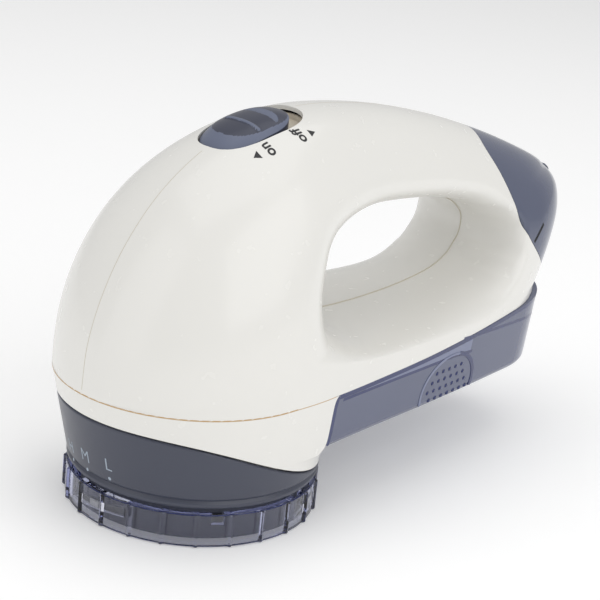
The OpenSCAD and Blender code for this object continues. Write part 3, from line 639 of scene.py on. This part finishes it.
def button_top(u, v, q):
    dome = 0.5 + 1.1 * (1 - q ** 4)
    ridge = 0.5 * math.exp(-((u - RIDGE_X) / 0.6) ** 4) * (1 if RIDGE_LEFT < v < RIDGE_RIGHT else 0)
    return dome - 5.5 * outside_plateau(u, v) ** 1.1 + ridge - 0.75 * scoop(u, v)


SCREWS = ((-22, 78), (14, 92), (90, 101))     # x, z of the screw holes in the right half
SCREW_HOLE_R = 2


def build_housing():
    window = crown_pad("window", WELL_X, WELL_A, WELL_B, -7, 5)
    region = cover_region(0.2)
    for side, name in ((-1, "left_housing"), (1, "right_housing")):
        half = shell(name + "_shell", side)
        carve(half, region, keep_tool=True)
        carve(half, window, keep_tool=True)
        if side > 0:
            for x, z in SCREWS:
                hole = lathe("hole", [(0.01, 5), (SCREW_HOLE_R, 5), (SCREW_HOLE_R, 60), (0.01, 60)], 48)
                spot = Matrix.Translation((x * MM, 0, z * MM))
                hole.data.transform(spot @ Matrix.Rotation(-math.pi / 2, 4, "X"))
                carve(half, hole)
        dress(half, CREAM)
        smooth(half)
        place(half, "housing", "cream_abs", name)
    bpy.data.objects.remove(window)
    bpy.data.objects.remove(region)


def build_cover():
    halves = []
    for side in (-1, 1):
        half = shell("cover_half", side)
        carve(half, cover_region(0), "INTERSECT")
        halves.append(half)
    cover = join(halves[0], halves[1])
    cover.name = "battery_cover_shell"

    def weld(bm):
        middle = [v for v in bm.verts if abs(v.co.y) < 1e-6]
        bmesh.ops.remove_doubles(bm, verts=middle, dist=2e-6)
        inside = [f for f in bm.faces if all(abs(v.co.y) < 1e-6 for v in f.verts)]
        bmesh.ops.delete(bm, geom=inside, context="FACES")

    edit(cover, weld)
    dress(cover, SMOKE_COVER)
    smooth(cover)
    place(cover, "battery_door", "cover_smoke", "battery_cover")


def surface_normal(x, z, side):
    """Outward normal of the body's flank at x, z, by small steps."""
    d = 0.3
    fx = (body_y(x + d, z) - body_y(x - d, z)) / (2 * d)
    fz = (body_y(x, z + d) - body_y(x, z - d)) / (2 * d)
    return unit(np.array([-fx, 1, -fz]) * (1, side, 1))


CATCH_START, CATCH_END = np.array([137.6, 75.9]), np.array([130.6, 70.7])
CATCH_STEPS = 12


def build_cover_details():
    slot_path, normals = [], []
    for k in range(CATCH_STEPS + 1):
        x, z = CATCH_START + (CATCH_END - CATCH_START) * k / CATCH_STEPS
        slot_path.append(np.array([x, -body_y(x, z), z]))
        normals.append(surface_normal(x, z, -1))
    for side, name in ((-1, "left"), (1, "right")):
        path = [p * (1, -side, 1) for p in slot_path]
        turned = [n * (1, -side, 1) for n in normals]
        mark = ribbon("cover_catch_slot_" + name, path, turned, 1.1, 0.4)
        dress(mark, SHADOW)
        smooth(mark)
        place(mark, "battery_door", "black_plastic")


def build_switch():
    button = crown_pad("switch_cap", SWITCH_X, BUTTON_A, BUTTON_B, -2.9, button_top,
                       steps=160, rings=56)
    dress(button, BUTTON_DARK, SLATE_LIT)
    # up-facing faces of the facets, scoop and ridge take the lighter slate: a painted highlight
    for face in button.data.polygons:
        u, v = face.center.x / MM, face.center.y / MM
        on_ridge = abs(u - RIDGE_X) < 0.55 and RIDGE_LEFT < v < RIDGE_RIGHT
        lit_facet = outside_plateau(u, v) > 0.004 or scoop(u, v) > 0 or on_ridge
        if face.normal.z > 0.3 and lit_facet:
            face.material_index = 1
    smooth(button, 50)
    place(button, "button", "slate_abs", "switch_button")

    well = crown_pad("switch_recess", WELL_X, WELL_A + 1.2, WELL_B + 1.2, -5.6, -WALL - 0.1)
    carve(well, crown_pad("hollow", WELL_X, WELL_A, WELL_B, -3.8, 4))
    slot_hole = box("slot", (WELL_X - 6.5, -2.2, 100), (WELL_X + 6.5, 2.2, 130))
    carve(well, slot_hole)
    # the recess takes the darkened cream: painted shade
    dress(well, RECESS_SHADED)
    smooth(well)
    place(well, "housing", "cream_abs", "switch_well")


# ---------------------------------------------------------------- head: skirt, collar, guard ring

FLANGE_Z = 11.6
NECK_R, SLIDE_R, FRAME_R = 36, 36.8, 34
DECK_Z, DECK_T = 22.2, 2
BOX_END = 151
BOX_FLOOR = 24
BOX_WALL = 1.8
ARC = 100
COLLAR_GAP = 0.7     # shadow gap between the collar and the skirt
PEG_R = 38.2
PEG_TURNS = (60, 180, 300)     # the collar's pegs, which run in the guard ring's grooves
KEY_TURNS = (0, 120, 240)


def head_x(z):
    return NOSE_X * max(0, z - 16) / (PARTING_Z - 16)


def head_r(z):
    return NOSE_R - DRAFT * (PARTING_Z - z)


def side_y(x, z):
    return half_width(x) - DRAFT * (PARTING_Z - z)


def collar_z(x):
    return 24.8 + 9.7 * math.cos(math.radians(180 * (min(max(x, -46), 30) + 46) / 76))


def head_plan(z, inset, end):
    """Plan outline of the head's walls, round at the nose and straight to end."""
    c, r = head_x(z), head_r(z) - inset
    nose = [(c + r * math.cos(a), r * math.sin(a))
            for a in (math.pi / 2 + math.pi * k / ARC for k in range(ARC + 1))]
    xs = [4 + 2 * k for k in range(int((end - 4) / 2) + 1)]
    return (nose + [(x, -side_y(x, z) + inset) for x in xs]
            + [(x, side_y(x, z) - inset) for x in reversed(xs)])


def head_circle(z, inset):
    c, r = head_x(z), head_r(z) - inset
    return [(c + r * math.cos(a), r * math.sin(a)) for a in (math.pi * k / ARC for k in range(2 * ARC))]


def box_front(z):
    """The lint box's front edge: upright, with a turn rearwards at its top and forwards at its foot."""
    top = 1.9 * math.exp((z - 42.2) / 1.1)
    foot = 2.2 * math.exp((BOX_FLOOR - z) / 1.4)
    return 18.1 + top - foot


def front_line(low, high, shift=0.0):
    return [(box_front(z) + shift, z) for z in np.linspace(low, high, 40)]


def above_collar(name, gap):
    """Everything above the collar's top edge."""
    line = [(x, collar_z(x) + gap) for x in np.linspace(-60, 60, 241)]
    return side_prism(name, line + [(60, 80), (-60, 80)])


def build_skirt():
    rear_z = BOX_FLOOR - 0.2
    lower = [13, 18, rear_z]
    upper = [rear_z - 0.5, 27, 30, 33, 36, 39, PARTING_Z - 0.2]
    skirt = stack("skirt_shell", [head_circle(z, 0) for z in lower], lower)
    carve(skirt, above_collar("above", COLLAR_GAP), "INTERSECT")
    walls = stack("walls", [head_plan(z, 0, 24) for z in upper], upper)
    carve(walls, above_collar("above", COLLAR_GAP), "INTERSECT")
    front = front_line(rear_z - 3, PARTING_Z + 2, -0.12)
    carve(walls, side_prism("front", front + [(-70, PARTING_Z + 2), (-70, rear_z - 3)]), "INTERSECT")
    carve(skirt, walls, "UNION")
    plug = [DECK_Z, 30, 37]
    carve(skirt, stack("plug", [head_plan(z, 2.3, 16) for z in plug], plug), "UNION")
    hollow = [(DECK_Z + DECK_T, 4.4), (36.6, 4.4), (38.6, WALL), (44, WALL)]
    inside = stack("inside", [head_plan(z, d, 16) for z, d in hollow], [z for z, d in hollow])
    carve(inside, box("rear", (15.6, -60, 0), (60, 60, 60)))
    carve(skirt, inside)
    carve(skirt, lathe("bore", [(0.01, 5), (NECK_R + 0.2, 5), (NECK_R + 0.2, DECK_Z), (0.01, DECK_Z)]))
    carve(skirt, lathe("eye", [(0.01, 21), (12, 21), (12, 31), (0.01, 31)], 60))
    carve(skirt, box("port", (22, -11, 21), (33.5, 11, 31)))
    dress(skirt, CREAM)
    smooth(skirt)
    place(skirt, "housing", "cream_abs", "head_skirt")


def build_collar():
    sections = []
    for k in range(3 * ARC):
        a = 2 * math.pi * k / (3 * ARC)

        def at(d, z):
            return (head_x(z) + (head_r(z) - d) * math.cos(a), (head_r(z) - d) * math.sin(a), z)

        def ring(r, z):
            return (r * math.cos(a), r * math.sin(a), z)

        top = 25
        for _ in range(8):
            top = collar_z(at(0, top)[0])
        lip = FLANGE_Z + 0.6
        wall = [at(0.9 - 0.9 * math.sin(t), lip + 0.9 - 0.9 * math.cos(t))
                for t in np.linspace(0, math.pi / 2, 5)]
        low = lip + 1.3
        waist_h = min(2.2, (top - low) * 0.6)
        waist = [at(0.75 * math.sin(math.pi * s) ** 2 * (top > low + 1), low + waist_h * s)
                 for s in np.linspace(0, 1, 7)]
        crown_low = waist[-1][2]
        side = [at(0, crown_low + (top - 0.8 - crown_low) * s) for s in np.linspace(0.15, 1, 7)]
        rim = [at(0.8 - 0.8 * math.cos(t), top - 0.8 + 0.8 * math.sin(t))
               for t in np.linspace(0.3, math.pi / 2, 5)]
        inner = [at(2, top), at(2, FLANGE_Z + 2.2),
                 ring(NECK_R, FLANGE_Z + 2.2), ring(NECK_R, DECK_Z - 0.4)]
        bore = [ring(FRAME_R + 0.2, DECK_Z - 0.4), ring(FRAME_R + 0.2, 2)]
        under = [ring(SLIDE_R - 0.3, 2), ring(SLIDE_R, 2.3),
                 ring(SLIDE_R, FLANGE_Z - 0.2), ring(SLIDE_R + 0.4, FLANGE_Z)]
        sections.append(under + wall + waist + side + rim + inner + bore)
    collar = swept("collar_shell", sections)
    pegs = [sector("peg", SLIDE_R - 0.3, PEG_R, 4.5, 6.5, a - 3, 6) for a in PEG_TURNS]
    join(collar, *pegs)
    dress(collar, SLATE, NECK_GREY, PEG_PALE)
    for face in collar.data.polygons:
        x, y, z = (c / MM for c in face.center)
        if math.hypot(x, y) < SLIDE_R + 0.2 and z < 5:
            face.material_index = 1
        elif math.hypot(x, y) > SLIDE_R + 0.2 and z < 8:
            face.material_index = 2
    smooth(collar, 40)
    place(collar, "housing", "slate_abs", "collar")


GUARD_R, GUARD_H = 40, 10.4
RIBS, RIB_R = 24, 1.1
BORE_R = SLIDE_R + 0.06


LINE_R = 0.22     # half thickness of the guard ring's edge lines


def build_guard():
    steps = RIBS * 28
    rib_turn = 360 / RIBS
    profile = [(0.35, 0), (0, 0.35), (0, 3), (0, 6), (0, GUARD_H - 0.35), (0.35, GUARD_H)]
    sections = []
    for k in range(steps):
        turn = 360 * k / steps
        a = math.radians(turn)
        off = math.radians((turn - 6 + rib_turn / 2) % rib_turn - rib_turn / 2) * (GUARD_R - RIB_R)
        bump = math.cos(math.pi / 2 * min(1, abs(off) / RIB_R)) ** 2
        r = GUARD_R - 0.8 + 0.8 * bump
        wall = [(r - d, z - (0.12 * bump if z > 6 else 0)) for d, z in profile]
        bore = [(BORE_R + 0.25, GUARD_H), (BORE_R, GUARD_H - 0.3), (BORE_R, 0.3), (BORE_R + 0.25, 0)]
        sections.append([(q * math.cos(a), q * math.sin(a), z) for q, z in wall + bore])
    guard = swept("guard_ring_clear", sections)
    lift_per_turn, reach = 1 / 14, 18
    for a in PEG_TURNS:
        floor = 4.05 - lift_per_turn * reach
        carve(guard, sector("groove", BORE_R - 1, 38.5, floor, floor + 2.9, a - reach, 2 * reach,
                            rise=2 * reach * lift_per_turn, steps=36))
        carve(guard, sector("entry", BORE_R - 1, 38.4, 4.6, 14, a - reach + 0.3, 6.6))
    for a in KEY_TURNS:
        carve(guard, sector("key", BORE_R - 1, 38.3, 7, 14, a - 2.8, 5.6))
    dress(guard, GUARD_CLEAR)
    smooth(guard, 30)
    place(guard, "guard", "smoke_clear", "guard_ring")

    for name, z in (("guard_edge_low", 0.3), ("guard_edge_high", GUARD_H - 0.3)):
        line = lathe(name, [(GUARD_R - 1.05 + LINE_R * math.cos(t), z + LINE_R * math.sin(t))
                            for t in (2 * math.pi * k / 8 for k in range(8))], 240)
        dress(line, NAVY)
        smooth(line, 80)
        place(line, "guard", "smoke_clear")


# ---------------------------------------------------------------- lint box

def box_half(x, z, inset):
    """Half width of the lint box, which is rounded at its rear."""
    return (side_y(x, z) - inset) * round_off((BOX_END - inset - x) / 24, 2.3)


def box_plan(z, inset, start):
    xs = [start + (BOX_END - 26 - start) * k / 24 for k in range(24)]
    xs += [BOX_END - inset - 24 + 24 * math.sin(math.radians(3 * k)) for k in range(31)]
    return ([(x, -box_half(x, z, inset)) for x in xs]
            + [(x, box_half(x, z, inset)) for x in xs[-2::-1]])


def under_edge(gap, start, end):
    return [(x, edge_z(x) - gap) for x in np.linspace(start, end, 60)]


def build_lint_box():
    corner = [(BOX_FLOOR + 3 * (1 - math.cos(t)), 2.2 * (1 - math.sin(t)))
              for t in np.linspace(0, math.pi / 2, 7)]
    zs = [z for z, d in corner] + [32, 40, 54]
    insets = [d for z, d in corner] + [0, 0, 0]
    shell_box = stack("lint_box_shell", [box_plan(z, d + 0.2, 12) for z, d in zip(zs, insets)], zs)
    edge = under_edge(0.15, 22, 156)
    outline = front_line(20, edge_z(22) - 0.15) + edge + [(156, 20)]
    carve(shell_box, side_prism("outline", outline), "INTERSECT")
    floor = BOX_FLOOR + BOX_WALL
    hollow = stack("hollow", [box_plan(z, BOX_WALL + 0.2, 22.1) for z in (floor, 60)], [floor, 60])
    carve(shell_box, hollow)
    carve(shell_box, box("floor_mouth", (10, -14, BOX_FLOOR - 1), (36, 14, 38)))
    carve(shell_box, box("mouth", (10, -17.6, floor), (25, 17.6, 60)))
    # room for the round rear of the head, which passes under the box's front
    carve(shell_box, lathe("head_room", [(0.01, 15), (41.3, 15), (41.3, 24.6), (0.01, 24.6)]))
    for side in (-1, 1):
        near, far = sorted((side * 13.7, side * 34))
        shelf = box("shelf", (44, near, 39), (104, far, 40.4))
        carve(shelf, stack("inside", [box_plan(z, 1, 21) for z in (30, 50)], [30, 50]), "INTERSECT")
        join(shell_box, shelf)
    dress(shell_box, SMOKE_BOX)
    smooth(shell_box, 30)
    place(shell_box, "lint_box", "smoke_clear", "lint_container")


def flank_strip(name, line, width, material, body="lint_box", slot="smoke_clear", proud=0.0, thick=0.3):
    """Strip on both of the lint box's flanks along a side-view line of x, z points."""
    for side, label in ((-1, "left"), (1, "right")):
        path, normals = [], []
        for x, z in line:
            y = box_half(x, z, 0.2 - proud)
            path.append(np.array([x, side * y, z]))
            slope = (box_half(x + 0.3, z, 0.2) - box_half(x - 0.3, z, 0.2)) / 0.6
            normals.append(unit(np.array([-slope, 1, -DRAFT]) * (1, side, 1)))
        strip = ribbon(f"{name}_{label}", path, normals, width, thick)
        dress(strip, material)
        smooth(strip, 60)
        place(strip, body, slot)


def ledge_z(x):
    """Height of the moulded ledge that runs back from the box's front."""
    return 39.8 - 0.8 * max(0, (x - 75) / 20) ** 2


def flank_patch(name, low, high, xs, material, proud=0.01, thick=0.25):
    """Thin facing on both flanks between two side-view heights."""
    for side, label in ((-1, "left"), (1, "right")):
        sections = []
        for x in xs:
            corners = [(high(x), proud), (low(x), proud), (low(x), -thick), (high(x), -thick)]
            sections.append([(x, side * (box_half(x, z, 0.2) + off), z) for z, off in corners])
        facing = swept(f"{name}_{label}", sections, closed=False)
        dress(facing, material)
        smooth(facing, 60)
        place(facing, "lint_box", "smoke_clear")


def build_lint_details():
    front = [(box_front(z) + 0.95, z) for z in np.linspace(BOX_FLOOR + 1.4, 41.4, 30)]
    flank_strip("box_front_edge", front, 1.9, NAVY)
    # navy strip just under the housing's lower edge: painted shadow of that edge on the lint box
    flank_strip("box_top_shadow", [(x, edge_z(x) - 1.0) for x in np.linspace(20.6, 147, 70)], 1.5, NAVY)
    flank_strip("box_ledge_line", [(x, ledge_z(x)) for x in np.linspace(22.5, 95, 40)], 1.1, NAVY)
    rear_line = [(x, 45.0 - 1.9 * (x - 87) / 45) for x in np.linspace(88, 138, 40)]
    flank_strip("box_rear_line", rear_line, 1.1, NAVY)
    flank_patch("box_ledge", lambda x: ledge_z(x) + 0.5, lambda x: edge_z(x) - 1.8,
                np.linspace(34, 94, 40), SMOKE_LIGHT)


GRIP_X, GRIP_Z = 83.0, 28.4     # centre of the grip's arch
GRIP_A, GRIP_B = 15.6, 12.0     # its half length and height
BUMP_ROW, BUMP_STEP = 3.1, 3.7     # spacing of its bumps up and along
BUMP_PROFILE = [(0.001, -0.4), (0.75, -0.4), (0.75, 0), (0.6, 0.22), (0.3, 0.34), (0.001, 0.36)]


def build_grip():
    arch = [(GRIP_X + GRIP_A * math.cos(t), GRIP_Z + GRIP_B * math.sin(t))
            for t in np.linspace(-0.25, math.pi + 0.25, 60)]
    flank_strip("grip_rear_edge", arch[:26], 1.5, NAVY, proud=0.15)
    flank_strip("grip_front_edge", arch[34:], 1.1, SMOKE_LIGHT, proud=0.15)
    flank_strip("grip_top_edge", arch[25:35], 0.8, SMOKE_LIGHT, proud=0.15)
    dots = []
    for row in range(5):
        z = GRIP_Z - 2.2 + BUMP_ROW * row
        for k in range(-4, 5):
            x = GRIP_X + 1.2 + BUMP_STEP * (k + 0.5 * (row % 2))
            if ((x - GRIP_X) / (GRIP_A - 2.6)) ** 2 + ((z - GRIP_Z) / (GRIP_B - 1.8)) ** 2 < 1:
                dots.append((x, z))
    for side, label in ((-1, "left"), (1, "right")):
        bumps = []
        turn = Matrix.Rotation(math.radians(-90 * side), 4, "X")
        for x, z in dots:
            y = box_half(x, z, 0.2)
            bump = lathe("bump", BUMP_PROFILE, 14)
            bump.data.transform(Matrix.Translation((x * MM, side * y * MM, z * MM)) @ turn)
            bumps.append(bump)
        grip = join(bumps[0], *bumps[1:])
        grip.name = "grip_bumps_" + label
        dress(grip, NAVY)
        smooth(grip, 50)
        place(grip, "lint_box", "smoke_clear")


# ---------------------------------------------------------------- seams, parting line and print

def build_seams():
    z = PARTING_Z - 0.05
    path = head_plan(z, 0.02, 18)
    start = len(path) - (len(path) - ARC - 1) // 2
    order = path[start:] + path[:start]
    line = [np.array([x, y, z]) for x, y in order]
    normals = [unit(np.array([min(x - NOSE_X, 0), y, 0])) for x, y in order]
    gasket = ribbon("parting_line", line, normals, 0.42, 0.8)
    dress(gasket, PARTING)
    smooth(gasket, 60)
    place(gasket, "housing", "cream_abs")

    outline = curve(OUTLINE, 12)
    clear_of_switch = WELL_A + 1.6
    flat_seam("crown_seam", [p for p in outline
                             if WELL_X + clear_of_switch <= p[0] < 107 and p[1] > 70])
    flat_seam("nose_seam", [p for p in outline
                            if p[0] <= WELL_X - clear_of_switch and p[1] > 70
                            or p[0] < 0 and PARTING_Z + 0.3 < p[1] <= 70])
    flat_seam("grip_seam", [ring_at(HOLE, k / 8)[:2] for k in range(len(HOLE) * 8 + 1)])


def flat_seam(name, run):
    """Fine line in the centre plane along a side-view run of points."""
    points = [np.array([p[0], 0, p[1]]) for p in run]
    normals = []
    for i in range(len(points)):
        t = unit(points[min(i + 1, len(points) - 1)] - points[max(i - 1, 0)])
        normals.append(np.array([t[2], 0, -t[0]]))
    seam = ribbon(name, points, normals, 0.22, 0.3)
    dress(seam, SEAM)
    smooth(seam, 60)
    place(seam, "housing", "cream_abs")


def lettering(name, text, height, spot, material, body, slot, weight=0.0):
    """Flat print: spot turns text x, y in millimetres, and a height off the surface, into a point."""
    font = bpy.data.curves.new(name, "FONT")
    font.body = text
    font.size = height / 0.73
    font.offset = weight
    font.extrude = 0.015
    font.resolution_u = 6
    letters = new_object(name, font)
    graph = bpy.context.evaluated_depsgraph_get()
    mesh = bpy.data.meshes.new_from_object(letters.evaluated_get(graph))
    bpy.data.objects.remove(letters)
    for v in mesh.vertices:
        v.co = Vector(spot(v.co.x, v.co.y, v.co.z)) * MM
    mesh.update()
    printed = new_object(name, mesh)
    dress(printed, material)
    place(printed, body, slot)
    return printed


def on_crown(x_base, y_start):
    def spot(tx, ty, off):
        x, y = x_base - ty, y_start + tx
        return x, y, top_z(x, y) + 0.03 + off
    return spot


def on_collar(turn, base):
    def spot(tx, ty, off):
        z = base + ty
        r = head_r(z) + 0.03 + off
        a = math.radians(turn) + tx / r
        return head_x(z) + r * math.cos(a), r * math.sin(a), z
    return spot


def arrow(name, tip_x, base_x, y, half):
    points = []
    for off in (-0.02, 0.045):
        for x, v in ((tip_x, y), (base_x, y - half), (base_x, y + half)):
            points.append((x, v, top_z(x, v) + off))
    mark = solid(name, points, [[0, 1, 2], [3, 5, 4], [0, 3, 4, 1], [1, 4, 5, 2], [2, 5, 3, 0]])
    dress(mark, INK)
    place(mark, "housing", "cream_abs")


# each height mark: its letter, the letter's plan angle and base height, the dot's plan angle and height
HEIGHT_MARKS = (("H", 158.6, 17.4, 162.5, 14.9),
                ("M", 172.2, 18.3, 175.8, 15.6),
                ("L", 188.3, 19.2, 190.2, 16.4))
DOT_R, DOT_SIDES = 0.55, 20


def build_print():
    for word, x, y in (("on", 7.3, -16.9), ("off", 19.9, -16.8)):
        lettering("print_" + word, word, 3.5, on_crown(x, y), INK, "housing", "cream_abs", weight=0.12)
    arrow("arrow_on", 0.3, 2.5, -14.4, 1.45)
    arrow("arrow_off", 24.6, 22.3, -14.6, 1.25)
    for letter, turn, base, dot_turn, dot_z in HEIGHT_MARKS:
        lettering("print_" + letter, letter, 4.2, on_collar(turn, base), PALE_INK,
                  "housing", "slate_abs", weight=-0.04)
        spot = on_collar(dot_turn, dot_z)
        turns = [2 * math.pi * k / DOT_SIDES for k in range(DOT_SIDES)]
        points = [spot(DOT_R * math.cos(t), DOT_R * math.sin(t), off)
                  for off in (-0.02, 0.015) for t in turns]
        n = DOT_SIDES
        sides = [[k, (k + 1) % n, n + (k + 1) % n, n + k] for k in range(n)]
        caps = [list(range(n)), list(range(n, 2 * n))[::-1]]
        dot = solid("dot_" + letter, points, caps + sides)
        dress(dot, PALE_INK)
        place(dot, "housing", "slate_abs")


# ---------------------------------------------------------------- stage, light and camera

def build_stage():
    bm = bmesh.new()
    bmesh.ops.create_grid(bm, x_segments=8, y_segments=8, size=4.0)
    mesh = bpy.data.meshes.new("floor")
    bm.to_mesh(mesh)
    bm.free()
    floor = new_object("floor", mesh)
    floor.location.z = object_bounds()[0][2] - 0.0002
    paint = plastic("pale_floor", (0.93, 0.93, 0.93), 0.7, vary=0.005)
    shader = paint.node_tree.nodes["Principled BSDF"]
    shader.inputs["Emission Color"].default_value = (1, 1, 1, 1)
    shader.inputs["Emission Strength"].default_value = 0.16
    dress(floor, paint)

    world = bpy.data.worlds.new("studio")
    bpy.context.scene.world = world
    world.use_nodes = True
    world.node_tree.nodes["Background"].inputs["Color"].default_value = (1, 1, 1, 1)
    world.node_tree.nodes["Background"].inputs["Strength"].default_value = 0.55


def lamp(name, place_m, aim_m, size, power):
    data = bpy.data.lights.new(name, "AREA")
    data.shape = "RECTANGLE"
    data.size, data.size_y = size
    data.energy = power
    light = bpy.data.objects.new(name, data)
    bpy.context.scene.collection.objects.link(light)
    light.location = place_m
    light.rotation_euler = (Vector(aim_m) - Vector(place_m)).to_track_quat("-Z", "Y").to_euler()


def build_light():
    middle = (0.05, 0, 0.07)
    lamp("key", (0.15, -1.2, 0.8), middle, (1.5, 1.2), 6.5)
    lamp("left_fill", (-1.1, 0.25, 0.55), middle, (0.9, 1.2), 2.2)
    lamp("top", (0.1, 0.1, 1.3), middle, (1.6, 1.2), 5.0)


VIEW = {"azimuth": -46.905, "elevation": 18.187, "roll": 6.034, "distance": 504.79}
AIM = (34.77, 59.67)     # aim point, right and up of the origin in the picture plane
LENS, SENSOR = 96, 36


def build_camera():
    a, e, r = (math.radians(VIEW[k]) for k in ("azimuth", "elevation", "roll"))
    back = Vector((math.sin(a) * math.cos(e), -math.cos(a) * math.cos(e), math.sin(e)))
    level = Vector((math.cos(a), math.sin(a), 0))
    upright = back.cross(level)
    right = math.cos(r) * level + math.sin(r) * upright
    up = -math.sin(r) * level + math.cos(r) * upright
    data = bpy.data.cameras.new("camera")
    data.lens, data.sensor_width = LENS, SENSOR
    data.clip_start, data.clip_end = 0.01, 20
    camera = bpy.data.objects.new("camera", data)
    bpy.context.scene.collection.objects.link(camera)
    spot = (AIM[0] * right + AIM[1] * up + VIEW["distance"] * back) * MM
    turn = Matrix((right, up, back)).transposed().to_4x4()
    camera.matrix_world = Matrix.Translation(spot) @ turn
    bpy.context.scene.camera = camera
    bpy.context.scene.view_settings.view_transform = "Standard"


build_camera()
build_housing()
build_cover()
build_cover_details()
build_switch()
build_skirt()
build_collar()
build_guard()
build_lint_box()
build_lint_details()
build_grip()
build_seams()
build_print()
build_stage()
build_light()
